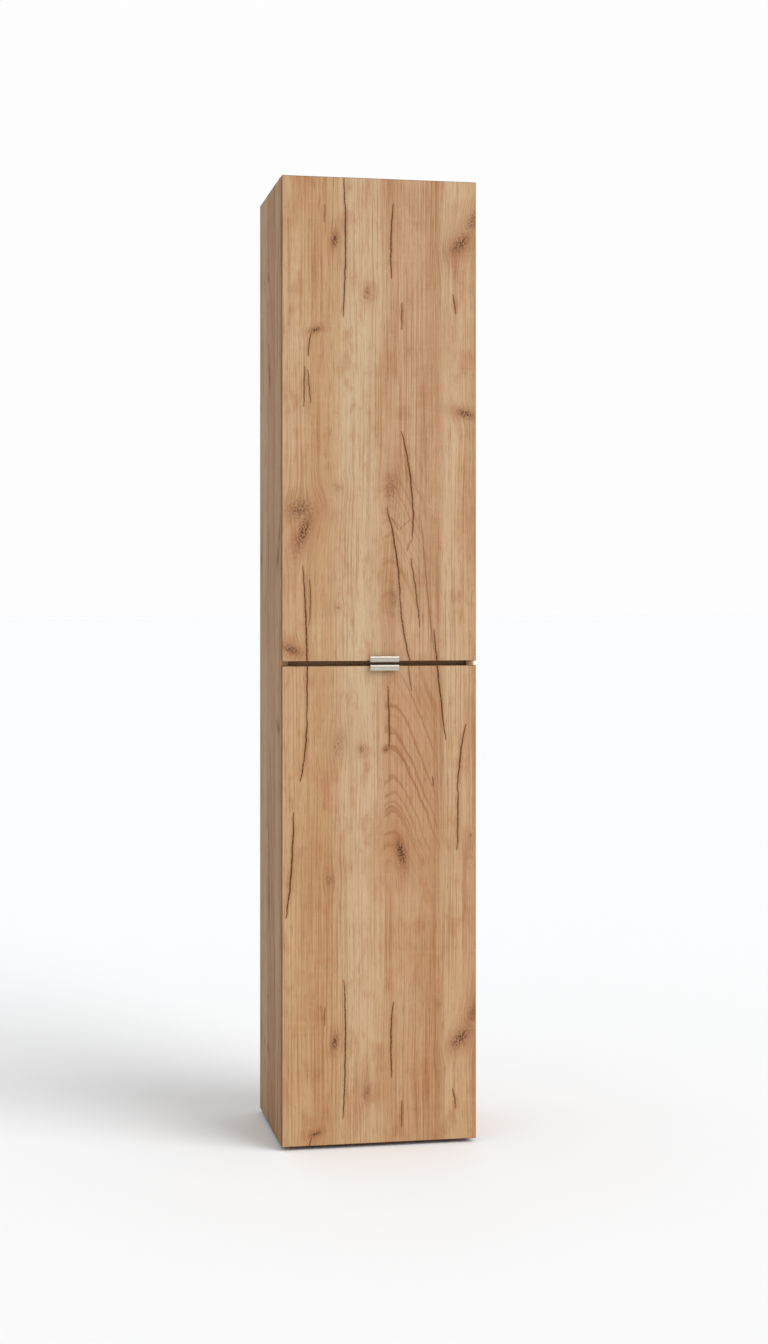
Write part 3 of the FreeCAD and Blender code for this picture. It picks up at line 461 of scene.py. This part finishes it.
# Straight growth lines a few millimetres apart, bent by the knots, in bands of their own.
lines = grain_noise(290.0, 3.2, 2.0, 0.5, 7.0)
bands = grain_noise(14.0, 3.0, 2.0, 0.5, 11.0)
line_shade = stepped(oak_group, lines, 0.43, 0.66)
line_strength = stepped(oak_group, bands, 0.34, 0.62, 0.22, 0.50)
line_shade = math_node(oak_group, "MULTIPLY", line_shade, line_strength)
colour = tinted(line_shade, 1.0, colour, (198, 168, 140), "MULTIPLY")
light_lines = stepped(oak_group, lines, 0.42, 0.26)
colour = tinted(light_lines, 0.28, colour, (226, 198, 162))

# Cathedral figure: nested pointed arches in the reddish stave, in metres across and up.
arch_side = math_node(oak_group, "SUBTRACT", shifted, ARCH_MIDDLE)
arch_side = math_node(oak_group, "MULTIPLY", arch_side, arch_side)
arch_side = math_node(oak_group, "ADD", arch_side, ARCH_ROUND)
arch_side = math_node(oak_group, "SQRT", arch_side)
arch = math_node(oak_group, "MULTIPLY_ADD", arch_side, ARCH_SLOPE, along)
arch = math_node(oak_group, "MULTIPLY_ADD", shifted, ARCH_LEAN, arch)
arch_wobble = noise(oak_group, given["Place"], 17.0, 3.0, 0.6)
arch = math_node(oak_group, "MULTIPLY_ADD", arch_wobble, 0.045, arch)
arch_noise = noise(oak_group, joined(oak_group, arch, given["Seed"], 0.0), 34.0, 2.5, 0.65)
arch_line = stepped(oak_group, arch_noise, 0.49, 0.60)
arch_rows = stepped(oak_group, along, 0.50, 0.66)
arch_top = stepped(oak_group, along, 0.99, 0.90)
arch_left = stepped(oak_group, across, 0.2085, 0.2100)
arch_right = stepped(oak_group, across, 0.340, 0.29)
arch_area = math_node(oak_group, "MULTIPLY", arch_rows, arch_top)
arch_area = math_node(oak_group, "MULTIPLY", arch_area, arch_left)
arch_area = math_node(oak_group, "MULTIPLY", arch_area, arch_right)
colour = tinted(arch_area, 0.42, colour, (200, 150, 110))
arch_share = math_node(oak_group, "MULTIPLY", arch_line, arch_area)
colour = tinted(arch_share, 0.62, colour, (160, 104, 68))

# Fainter reddish wisps of the same figure in the middle of the upper door.
wisp_rows = stepped(oak_group, along, 1.04, 1.14)
wisp_top = stepped(oak_group, along, 1.44, 1.30)
wisp_right = stepped(oak_group, across, 0.315, 0.26)
wisp_area = math_node(oak_group, "MULTIPLY", wisp_rows, wisp_top)
wisp_area = math_node(oak_group, "MULTIPLY", wisp_area, stepped(oak_group, across, 0.195, 0.215))
wisp_area = math_node(oak_group, "MULTIPLY", wisp_area, wisp_right)
wisp_share = math_node(oak_group, "MULTIPLY", arch_line, wisp_area)
colour = tinted(wisp_share, 0.45, colour, (168, 112, 76))

# Fine pores: short dark dashes along the grain.
pores = grain_noise(820.0, 24.0, 2.0, 0.6, 13.0)
pore_shade = stepped(oak_group, pores, 0.54, 0.72)
pore_shade = math_node(oak_group, "MULTIPLY", pore_shade, 0.6)
colour = tinted(pore_shade, 1.0, colour, (176, 146, 118), "MULTIPLY")

# Knots and cracks go on last.
speck = noise(oak_group, joined(
    oak_group,
    math_node(oak_group, "MULTIPLY", across, 300.0),
    given["Seed"],
    math_node(oak_group, "MULTIPLY", along, 190.0),
), 1.0, 3.0, 0.65)
speck_share = stepped(oak_group, speck, 0.42, 0.58, 0.15, 1.0)
halo_share = math_node(oak_group, "MULTIPLY_ADD", speck_share, 0.35, 0.6)
colour = tinted(math_node(oak_group, "MULTIPLY", halo, halo_share), 1.0, colour, (176, 121, 84))
heart_share = math_node(oak_group, "MULTIPLY", heart, speck_share)
colour = tinted(heart_share, 1.15, colour, (96, 62, 42))
colour = tinted(glow, 0.55, colour, (172, 116, 76))
fill = math_node(oak_group, "MULTIPLY", cracks, stepped(oak_group, speck, 0.30, 0.55, 0.62, 1.08))
colour = tinted(fill, 1.0, colour, (66, 32, 15))
colour = mixed(oak_group, "MULTIPLY", 1.0, colour, given["Tint"])
feed(oak_group, result["Colour"], colour)
matt = math_node(oak_group, "MULTIPLY_ADD", pores, 0.16, 0.50)
feed(oak_group, result["Roughness"], matt)
pits = math_node(oak_group, "MULTIPLY", pore_shade, -0.5)
feed(oak_group, result["Height"], math_node(oak_group, "MULTIPLY_ADD", cracks, -0.6, pits))


def new_material(name):
    """A material with its node tree and its Principled shader."""
    material = bpy.data.materials.new(name)
    material.use_nodes = True
    shader = material.node_tree.nodes["Principled BSDF"]
    return material, material.node_tree, shader


def object_place(tree, location=(0, 0, 0), rotation=(0, 0, 0), scale=(1, 1, 1)):
    """Object coordinates twice: as they are, and moved, turned or stretched."""
    plain = tree.nodes.new("ShaderNodeTexCoord").outputs["Object"]
    mapping = tree.nodes.new("ShaderNodeMapping")
    for socket_name, value in (("Location", location), ("Rotation", rotation), ("Scale", scale)):
        mapping.inputs[socket_name].default_value = value
    tree.links.new(plain, mapping.inputs["Vector"])
    return plain, mapping.outputs["Vector"]


def raised(tree, shader, height, strength, distance):
    """Give a shader the fine relief of a height."""
    bump = tree.nodes.new("ShaderNodeBump")
    bump.inputs["Strength"].default_value = strength
    bump.inputs["Distance"].default_value = distance
    tree.links.new(height, bump.inputs["Height"])
    tree.links.new(bump.outputs["Normal"], shader.inputs["Normal"])


QUARTER = math.pi / 2
CARCASS_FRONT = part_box("side_panel_left")[0][1]
CARCASS_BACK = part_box("side_panel_left")[1][1]
# How deep an edge's own surface reaches into a board, and where it begins to blend.
EDGE_DEPTH = 0.0004
EDGE_BLEND = 0.0002
# Stretch of an edge band's grain on an upright and on a lying board, in cycles per metre.
UPRIGHT_BAND = (420, 420, 12)
LYING_BAND = (12, 420, 420)
# Turn of the print on a lying board: its grain runs from side to side, across the depth.
ACROSS_DEPTH = (-QUARTER, -QUARTER, 0)
LYING_TINT = (0.76, 0.76, 0.76)


def board_material(name, turn, corner, seed, tint, front_edge=None, band_stretch=None):
    """Printed oak whose grain runs as the board needs, with its front edge band and raw back."""
    material, tree, shader = new_material(name)
    plain, place = object_place(tree, corner, turn)
    oak = placed(tree, oak_group, Place=place, Seed=seed, Tint=(*tint, 1))
    colour = oak["Colour"]
    if front_edge is not None:
        split = tree.nodes.new("ShaderNodeSeparateXYZ")
        tree.links.new(plain, split.inputs["Vector"])
        depth_place = split.outputs["Y"]
        band_place = tree.nodes.new("ShaderNodeVectorMath")
        band_place.operation = "MULTIPLY"
        band_place.inputs[1].default_value = band_stretch
        tree.links.new(plain, band_place.inputs[0])
        band_grain = noise(tree, band_place.outputs["Vector"], 1.0, 3.0, 0.6)
        band_share = stepped(tree, band_grain, 0.3, 0.7)
        # The front edge band is lighter than the print beside it: partly its own colour, partly
        # painted light that brightens edges lying in the shade of the door gap.
        band = mixed(tree, "MIX", band_share, srgb(230, 188, 148), srgb(198, 152, 112))
        chips = noise(tree, plain, 520.0, 3.0, 0.7)
        chip_share = stepped(tree, chips, 0.35, 0.62)
        chipboard = mixed(tree, "MIX", chip_share, srgb(146, 112, 78), srgb(204, 172, 128))
        at_front = stepped(tree, depth_place, front_edge + EDGE_DEPTH, front_edge + EDGE_BLEND)
        at_back = stepped(tree, depth_place, CARCASS_BACK - EDGE_DEPTH, CARCASS_BACK - EDGE_BLEND)
        colour = mixed(tree, "MIX", at_front, colour, band)
        colour = mixed(tree, "MIX", at_back, colour, chipboard)
    tree.links.new(colour, shader.inputs["Base Color"])
    tree.links.new(oak["Roughness"], shader.inputs["Roughness"])
    shader.inputs["Specular IOR Level"].default_value = 0.1
    raised(tree, shader, oak["Height"], 0.35, 0.0006)
    return material


def paint(material, *nodes):
    """Give CAD nodes or pieces a material in every slot."""
    for node in nodes:
        thing = bpy.data.objects[node]
        thing.data.materials.clear()
        thing.data.materials.append(material)


# Painted shade: the sides' print is tinted darker and warmer than the doors', for the sides that
# face away from the light.
shaded_side_oak = board_material(
    "oak_print_side_shaded", (0, 0, QUARTER), (0.26, 0, 0.63), 4.0, (0.60, 0.56, 0.465),
    CARCASS_FRONT, UPRIGHT_BAND,
)
flat_oak = board_material(
    "oak_print_flat", ACROSS_DEPTH, (0.17, 0, 0.9), 9.0, LYING_TINT,
    CARCASS_FRONT, LYING_BAND,
)
divider_oak = board_material(
    "oak_print_divider", ACROSS_DEPTH, (0.21, 0, 0.7), 9.0, LYING_TINT,
    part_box("middle_shelf")[0][1], LYING_BAND,
)
paint(shaded_side_oak, "side_panel_left", "side_panel_right")
paint(flat_oak, "bottom_panel", "top_panel")
paint(divider_oak, "middle_shelf")


# --- Loose shelves and their pins ------------------------------------------------------------
# Four loose shelves of the same printed board lie on plain steel pins pushed into the rows of
# holes in the sides.

shelf_oak = board_material(
    "oak_print_shelf", ACROSS_DEPTH, (0.19, 0, 1.25), 17.0, (0.78, 0.78, 0.78),
    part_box("upper_shelf_low")[0][1], LYING_BAND,
)
paint(shelf_oak, "upper_shelf_low", "upper_shelf_high", "lower_shelf_low", "lower_shelf_high")

# Metal skin: rolling or brushing lines along one way, cloudy tarnish and tiny bright rubs.
metal_group, given, result = new_group(
    "Metal skin",
    [("Place", "Vector"), ("Tint", "Color"), ("Tarnish", "Color"), ("Cloud size", "Float"),
     ("Roughness", "Float")],
    [("Colour", "Color"), ("Roughness", "Float"), ("Height", "Float")],
)
brushing = noise(metal_group, given["Place"], 1.0, 3.0, 0.6)
cloud_place = metal_group.nodes.new("ShaderNodeVectorMath")
cloud_place.operation = "SCALE"
feed(metal_group, cloud_place.inputs[0], given["Place"])
feed(metal_group, cloud_place.inputs["Scale"], given["Cloud size"])
tarnish = noise(metal_group, cloud_place.outputs["Vector"], 1.0, 4.0, 0.6)
tarnish_share = stepped(metal_group, tarnish, 0.42, 0.72, 0.0, 0.55)
skin = mixed(metal_group, "MIX", tarnish_share, given["Tint"], given["Tarnish"])
line_tone = stepped(metal_group, brushing, 0.25, 0.75, 0.88, 1.08)
grey_lines = joined(metal_group, line_tone, line_tone, line_tone)
feed(metal_group, result["Colour"], mixed(metal_group, "MULTIPLY", 1.0, skin, grey_lines))
rubbed = math_node(metal_group, "MULTIPLY_ADD", brushing, 0.22, given["Roughness"])
rubbed = math_node(metal_group, "MULTIPLY_ADD", tarnish_share, 0.2, rubbed)
feed(metal_group, result["Roughness"], rubbed)
feed(metal_group, result["Height"], brushing)


def metal_material(name, tint, tarnish, roughness, stretch, bump_strength, cloud_size=0.05):
    """Bare or plated metal; stretch is the brushing's cycles per metre along X, Y and Z."""
    material, tree, shader = new_material(name)
    _, place = object_place(tree, scale=stretch)
    skin = placed(
        tree, metal_group, Place=place, Tint=srgb(*tint),
        Tarnish=srgb(*tarnish), Cloud_size=cloud_size, Roughness=roughness,
    )
    tree.links.new(skin["Colour"], shader.inputs["Base Color"])
    tree.links.new(skin["Roughness"], shader.inputs["Roughness"])
    shader.inputs["Metallic"].default_value = 1.0
    raised(tree, shader, skin["Height"], bump_strength, 0.0001)
    return material


pin_steel = metal_material(
    "plated_pin_steel", (176, 176, 178), (132, 130, 128), 0.24, (300, 900, 900), 0.25,
)
paint(pin_steel, "shelf_pins")


# --- Back panels and nails -------------------------------------------------------------------
# Two sheets of 3 mm hardboard: printed oak faces the inside, the raw brown sieve-marked side
# faces the wall. They are nailed on with small round-headed nails.

BACK_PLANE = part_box("back_panel_lower")[0][1]
PRINTED_TO = 0.0004
RAW_FROM = 0.0006
SIEVE_PITCH = 0.0016
back_material, tree, shader = new_material("hardboard_back")
plain, place = object_place(tree, (0.2, 0, -0.2))
split = tree.nodes.new("ShaderNodeSeparateXYZ")
tree.links.new(plain, split.inputs["Vector"])
fibres = noise(tree, plain, 420.0, 4.0, 0.7)
stains = noise(tree, plain, 7.0, 3.0, 0.5)
sieve_waves = []
for axis_name in ("X", "Z"):
    wave = math_node(tree, "MULTIPLY", split.outputs[axis_name], 2 * math.pi / SIEVE_PITCH)
    wave = math_node(tree, "SINE", wave)
    sieve_waves.append(math_node(tree, "MULTIPLY_ADD", wave, 0.5, 0.5))
sieve = math_node(tree, "MULTIPLY", *sieve_waves)
fibre_share = stepped(tree, fibres, 0.3, 0.7)
raw = mixed(tree, "MIX", fibre_share, srgb(128, 92, 62), srgb(164, 126, 90))
raw = mixed(tree, "MIX", stepped(tree, stains, 0.45, 0.75, 0.0, 0.4), raw, srgb(112, 80, 54))
raw = mixed(tree, "MIX", math_node(tree, "MULTIPLY", sieve, 0.3), raw, srgb(96, 66, 42))
inside = placed(tree, oak_group, Place=place, Seed=14.0, Tint=(0.8, 0.8, 0.8, 1))
wall_side = stepped(tree, split.outputs["Y"], BACK_PLANE + PRINTED_TO, BACK_PLANE + RAW_FROM)
tree.links.new(mixed(tree, "MIX", wall_side, inside["Colour"], raw), shader.inputs["Base Color"])
feed(tree, shader.inputs["Roughness"], stepped(tree, wall_side, 0.0, 1.0, 0.55, 0.9))
shader.inputs["Specular IOR Level"].default_value = 0.2
relief = math_node(tree, "MULTIPLY_ADD", sieve, -0.7, fibres)
relief = math_node(tree, "MULTIPLY", relief, wall_side)
raised(tree, shader, relief, 0.4, 0.0003)
paint(back_material, "back_panel_lower", "back_panel_upper")

nail_steel = metal_material(
    "bright_nail_steel", (168, 166, 162), (118, 108, 98), 0.32, (900, 900, 900), 0.4,
)
paint(nail_steel, "back_nails")


# --- Cam locks, cam bolts and dowels ---------------------------------------------------------
# Die-cast zinc cams in the boards grip steel bolts in the sides. Raw beech dowels keep the
# boards in line.

cast_zinc = metal_material(
    "cast_zinc", (158, 158, 162), (108, 106, 104), 0.38, (700, 700, 700), 0.5,
)
paint(cast_zinc, "cam_locks")
paint(pin_steel, "cam_bolts")

dowel_beech, tree, shader = new_material("raw_beech")
_, place = object_place(tree, scale=(60, 1600, 1600))
flecks = noise(tree, place, 1.0, 3.0, 0.6)
fleck_share = stepped(tree, flecks, 0.35, 0.7)
beech = mixed(tree, "MIX", fleck_share, srgb(214, 176, 132), srgb(176, 130, 88))
tree.links.new(beech, shader.inputs["Base Color"])
feed(tree, shader.inputs["Roughness"], stepped(tree, flecks, 0.3, 0.7, 0.6, 0.75))
raised(tree, shader, flecks, 0.5, 0.0002)
paint(dowel_beech, "wooden_dowels")


# --- Feet ------------------------------------------------------------------------------------
# Four low glides moulded in black plastic, each screwed under the bottom board. Moulded skin
# is finely grained, and grey scuffs tell of pushing over a floor.


def plastic_material(name, tone, scuffed, roughness, strength=0.3):
    """Moulded plastic: a finely grained skin with cloudy scuffs."""
    material, tree, shader = new_material(name)
    plain = tree.nodes.new("ShaderNodeTexCoord").outputs["Object"]
    skin = noise(tree, plain, 2400.0, 2.0, 0.5)
    rubs = noise(tree, plain, 130.0, 5.0, 0.7)
    rub_share = stepped(tree, rubs, 0.52, 0.72, 0.0, 0.8)
    tone = mixed(tree, "MIX", rub_share, srgb(*tone), srgb(*scuffed))
    tree.links.new(tone, shader.inputs["Base Color"])
    feed(tree, shader.inputs["Roughness"], math_node(tree, "MULTIPLY_ADD", skin, 0.25, roughness))
    raised(tree, shader, skin, strength, 0.0001)
    return material, shader


black_plastic, _ = plastic_material("black_plastic", (18, 17, 16), (44, 42, 40), 0.42)
paint(black_plastic, "foot_front_left", "foot_front_right", "foot_rear_left", "foot_rear_right")
screw_steel = metal_material(
    "zinc_plated_screws", (184, 182, 172), (138, 134, 120), 0.26, (800, 800, 800), 0.3,
)
paint(screw_steel, "foot_screws")


# --- Wall bracket ----------------------------------------------------------------------------
# A small angle of galvanised steel screwed on the top board, so the cabinet can be fixed to the
# wall and can't tip. Its zinc shows pale spangles.

galvanised = metal_material(
    "galvanised_steel", (172, 174, 178), (130, 134, 140), 0.3, (160, 160, 160), 0.2, 0.6,
)
paint(galvanised, "wall_bracket")
paint(screw_steel, "bracket_screws")


# --- Door panels -----------------------------------------------------------------------------
# Two 19 mm doors cut from one length of printed board, so the oak figure runs on from the
# lower door into the upper one. Each is bored at the back for two hinge cups.

DOOR_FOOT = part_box("lower_door_edge_bands")[0][2]
front_oak = board_material(
    "oak_print_front", (0, 0, 0), (-corner_x, 0, -DOOR_FOOT), 0.0, (0.80, 0.81, 0.81),
)
paint(front_oak, "upper_door_panel", "lower_door_panel")


# --- Door edge bands -------------------------------------------------------------------------
# A strip of oak-look plastic, 1 mm thick, is glued round each door's edge and its outer
# corners are trimmed round, so a fine line runs round every door. The strip is coloured
# darker than the print: partly its own colour, partly painted shade of the gap beside the door.

BAND = 0.001
BAND_ROUNDING = 0.0008
BODY_OF = {"upper": "upper_door", "lower": "lower_door"}

edge_band_shaded_material, tree, shader = new_material("edge_band_oak_shaded")
plain, place = object_place(tree, scale=(260, 420, 14))
strip_grain = noise(tree, place, 1.0, 3.0, 0.6)
strip_share = stepped(tree, strip_grain, 0.34, 0.7)
strip_clouds = noise(tree, plain, 9.0, 3.0, 0.5)
cloud_share = stepped(tree, strip_clouds, 0.4, 0.7, 0.0, 0.35)
# Painted shade: the strip's browns are darkened to stand for the shade in the gap between door
# and carcass.
strip = mixed(tree, "MIX", strip_share, srgb(128, 88, 56), srgb(94, 61, 36))
strip = mixed(tree, "MIX", cloud_share, strip, srgb(76, 50, 31))
tree.links.new(strip, shader.inputs["Base Color"])
feed(tree, shader.inputs["Roughness"], stepped(tree, strip_grain, 0.3, 0.7, 0.42, 0.58))
shader.inputs["Specular IOR Level"].default_value = 0.1
raised(tree, shader, strip_grain, 0.25, 0.0002)


def pick(piece, kind, wanted):
    """Select the piece's faces or edges that a test on their middle and direction accepts."""
    bpy.ops.object.mode_set(mode="EDIT")
    bpy.ops.mesh.select_mode(type=kind)
    bpy.ops.mesh.select_all(action="DESELECT")
    bpy.ops.object.mode_set(mode="OBJECT")
    mesh = piece.data
    if kind == "FACE":
        for face in mesh.polygons:
            face.select = wanted(face.center, face.normal)
    else:
        for edge in mesh.edges:
            start, end = (mesh.vertices[v].co for v in edge.vertices)
            edge.select = wanted((start + end) / 2, (end - start).normalized())
    bpy.ops.object.mode_set(mode="EDIT")


def settle(piece, name, material, door):
    """Name a finished piece, shade it and hang it on its door."""
    bpy.ops.object.mode_set(mode="OBJECT")
    piece.name = name
    piece.data.materials.clear()
    piece.data.materials.append(material)
    bpy.ops.object.shade_smooth_by_angle(angle=math.radians(35))
    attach(piece, BODY_OF[door])


for door in BODY_OF:
    low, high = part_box(f"{door}_door_edge_bands")
    middle = [(a + b) / 2 for a, b in zip(low, high)]
    bpy.ops.object.select_all(action="DESELECT")
    bpy.ops.mesh.primitive_plane_add(
        size=1, location=(middle[0], low[1], middle[2]), rotation=(QUARTER, 0, 0),
    )
    ring = bpy.context.object
    ring.scale = (high[0] - low[0], high[2] - low[2], 1)
    bpy.ops.object.transform_apply(location=True, rotation=True, scale=True)
    bpy.ops.object.mode_set(mode="EDIT")
    bpy.ops.mesh.select_all(action="SELECT")
    bpy.ops.mesh.inset(thickness=BAND)
    bpy.ops.mesh.delete(type="FACE")
    bpy.ops.mesh.select_all(action="SELECT")
    through = (0, high[1] - low[1], 0)
    bpy.ops.mesh.extrude_region_move(TRANSFORM_OT_translate={"value": through})
    bpy.ops.mesh.select_all(action="SELECT")
    bpy.ops.mesh.normals_make_consistent(inside=False)

    def outer_corner(at, along):
        reach = 0.1 * BAND
        at_side = min(at.x - low[0], high[0] - at.x) < reach
        at_end = min(at.z - low[2], high[2] - at.z) < reach
        at_face = min(at.y - low[1], high[1] - at.y) < reach
        return (at_face and (at_side or at_end)) or (at_side and at_end)

    pick(ring, "EDGE", outer_corner)
    bpy.ops.mesh.bevel(offset=BAND_ROUNDING, segments=4, affect="EDGES")
    settle(ring, f"{door}_edge_band_ring", edge_band_shaded_material, door)
    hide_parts(f"{door}_door_edge_bands")


# --- Edge pulls ------------------------------------------------------------------------------
# Each door has a short pull of satin aluminium screwed behind its edge: a strip that hooks
# over the edge and ends in a lip with two sloping ribs and a groove, so fingers get a grip.

PULL_METAL = 0.0015
PULL_FLANGE = 0.024
LIP_HEIGHT = 0.0115
GROOVE_MIDDLE = 0.0060
GROOVE_MOUTH = 0.0018
GROOVE_FLOOR = 0.0012
GROOVE_DEPTH = 0.0011
RIB_RISE = 0.0030
RIB_SLOPE = 0.0010
RIB_ROUNDING = 0.00022

pull_aluminium = metal_material(
    "satin_aluminium", (196, 190, 177), (150, 145, 132), 0.34, (40, 2600, 2600), 0.4, 0.02,
)

for door in BODY_OF:
    low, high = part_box(f"{door}_pull")
    away = 1 if door == "upper" else -1
    outside = low[2] if door == "upper" else high[2]
    behind = high[1]
    lip = low[1]
    # Outline seen from the side: place along Y, and height from the pull's outer face.
    outline = [
        (behind, 0.0000),
        (behind, PULL_METAL + PULL_FLANGE),
        (behind - PULL_METAL, PULL_METAL + PULL_FLANGE),
        (behind - PULL_METAL, PULL_METAL),
        (lip + PULL_METAL, PULL_METAL),
        (lip + PULL_METAL, LIP_HEIGHT),
        (lip + RIB_SLOPE, LIP_HEIGHT),
        (lip, LIP_HEIGHT - RIB_RISE),
        (lip, GROOVE_MIDDLE + GROOVE_MOUTH),
        (lip + GROOVE_DEPTH, GROOVE_MIDDLE + GROOVE_FLOOR),
        (lip + GROOVE_DEPTH, GROOVE_MIDDLE - GROOVE_FLOOR),
        (lip, GROOVE_MIDDLE - GROOVE_MOUTH),
        (lip, RIB_RISE),
        (lip + RIB_SLOPE, 0.0000),
    ]
    bpy.ops.object.select_all(action="DESELECT")
    bpy.ops.mesh.primitive_plane_add(size=0.001, location=(low[0], outline[0][0], outside))
    pull = bpy.context.object
    bpy.ops.object.transform_apply(location=True, rotation=True, scale=True)
    bpy.ops.object.mode_set(mode="EDIT")
    bpy.ops.mesh.select_mode(type="VERT")
    bpy.ops.mesh.select_all(action="SELECT")
    bpy.ops.mesh.merge(type="CENTER")
    for (y, height), (next_y, next_height) in zip(outline, outline[1:]):
        step = (0, next_y - y, (next_height - height) * away)
        bpy.ops.mesh.extrude_region_move(TRANSFORM_OT_translate={"value": step})
    bpy.ops.mesh.select_all(action="SELECT")
    bpy.ops.mesh.edge_face_add()
    bpy.ops.mesh.extrude_region_move(TRANSFORM_OT_translate={"value": (high[0] - low[0], 0, 0)})
    bpy.ops.mesh.select_all(action="SELECT")
    bpy.ops.mesh.normals_make_consistent(inside=False)

    def lip_edge(at, along):
        return abs(along.x) > 0.9 and at.y < lip + 0.9 * PULL_METAL

    pick(pull, "EDGE", lip_edge)
    bpy.ops.mesh.bevel(offset=RIB_ROUNDING, segments=3, affect="EDGES")
    settle(pull, f"{door}_ribbed_pull", pull_aluminium, door)
    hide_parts(f"{door}_pull")
paint(screw_steel, "upper_pull_screws", "lower_pull_screws")


# --- Hinges ----------------------------------------------------------------------------------
# Two nickel-plated steel cup hinges per door: a cup let into the door and screwed to it, bent
# links, and an arm that sits on a plate screwed to the side panel.

hinge_steel = metal_material(
    "nickel_plated_steel", (200, 198, 192), (160, 156, 148), 0.2, (220, 220, 700), 0.2,
)
dark_steel = metal_material(
    "link_steel", (168, 166, 160), (120, 116, 110), 0.28, (500, 500, 900), 0.3,
)
for door in BODY_OF:
    paint(hinge_steel, f"{door}_hinge_cups", f"{door}_hinge_arms", f"{door}_hinge_plates")
    paint(dark_steel, f"{door}_outer_links", f"{door}_inner_links")
    paint(pin_steel, f"{door}_arm_pins", f"{door}_cup_pins")
    paint(screw_steel, f"{door}_plate_screws", f"{door}_cup_screws")


# --- Door bumpers ----------------------------------------------------------------------------
# Two clear soft pads stuck on each door's back quieten it against the side panel. Light sinks
# a little way into them.

soft_pad, pad_shader = plastic_material(
    "clear_soft_pad", (206, 206, 200), (184, 182, 172), 0.2, 0.1,
)
pad_shader.inputs["Subsurface Weight"].default_value = 0.4
pad_shader.inputs["Subsurface Radius"].default_value = (0.002, 0.002, 0.002)
paint(soft_pad, "upper_door_pads", "lower_door_pads")
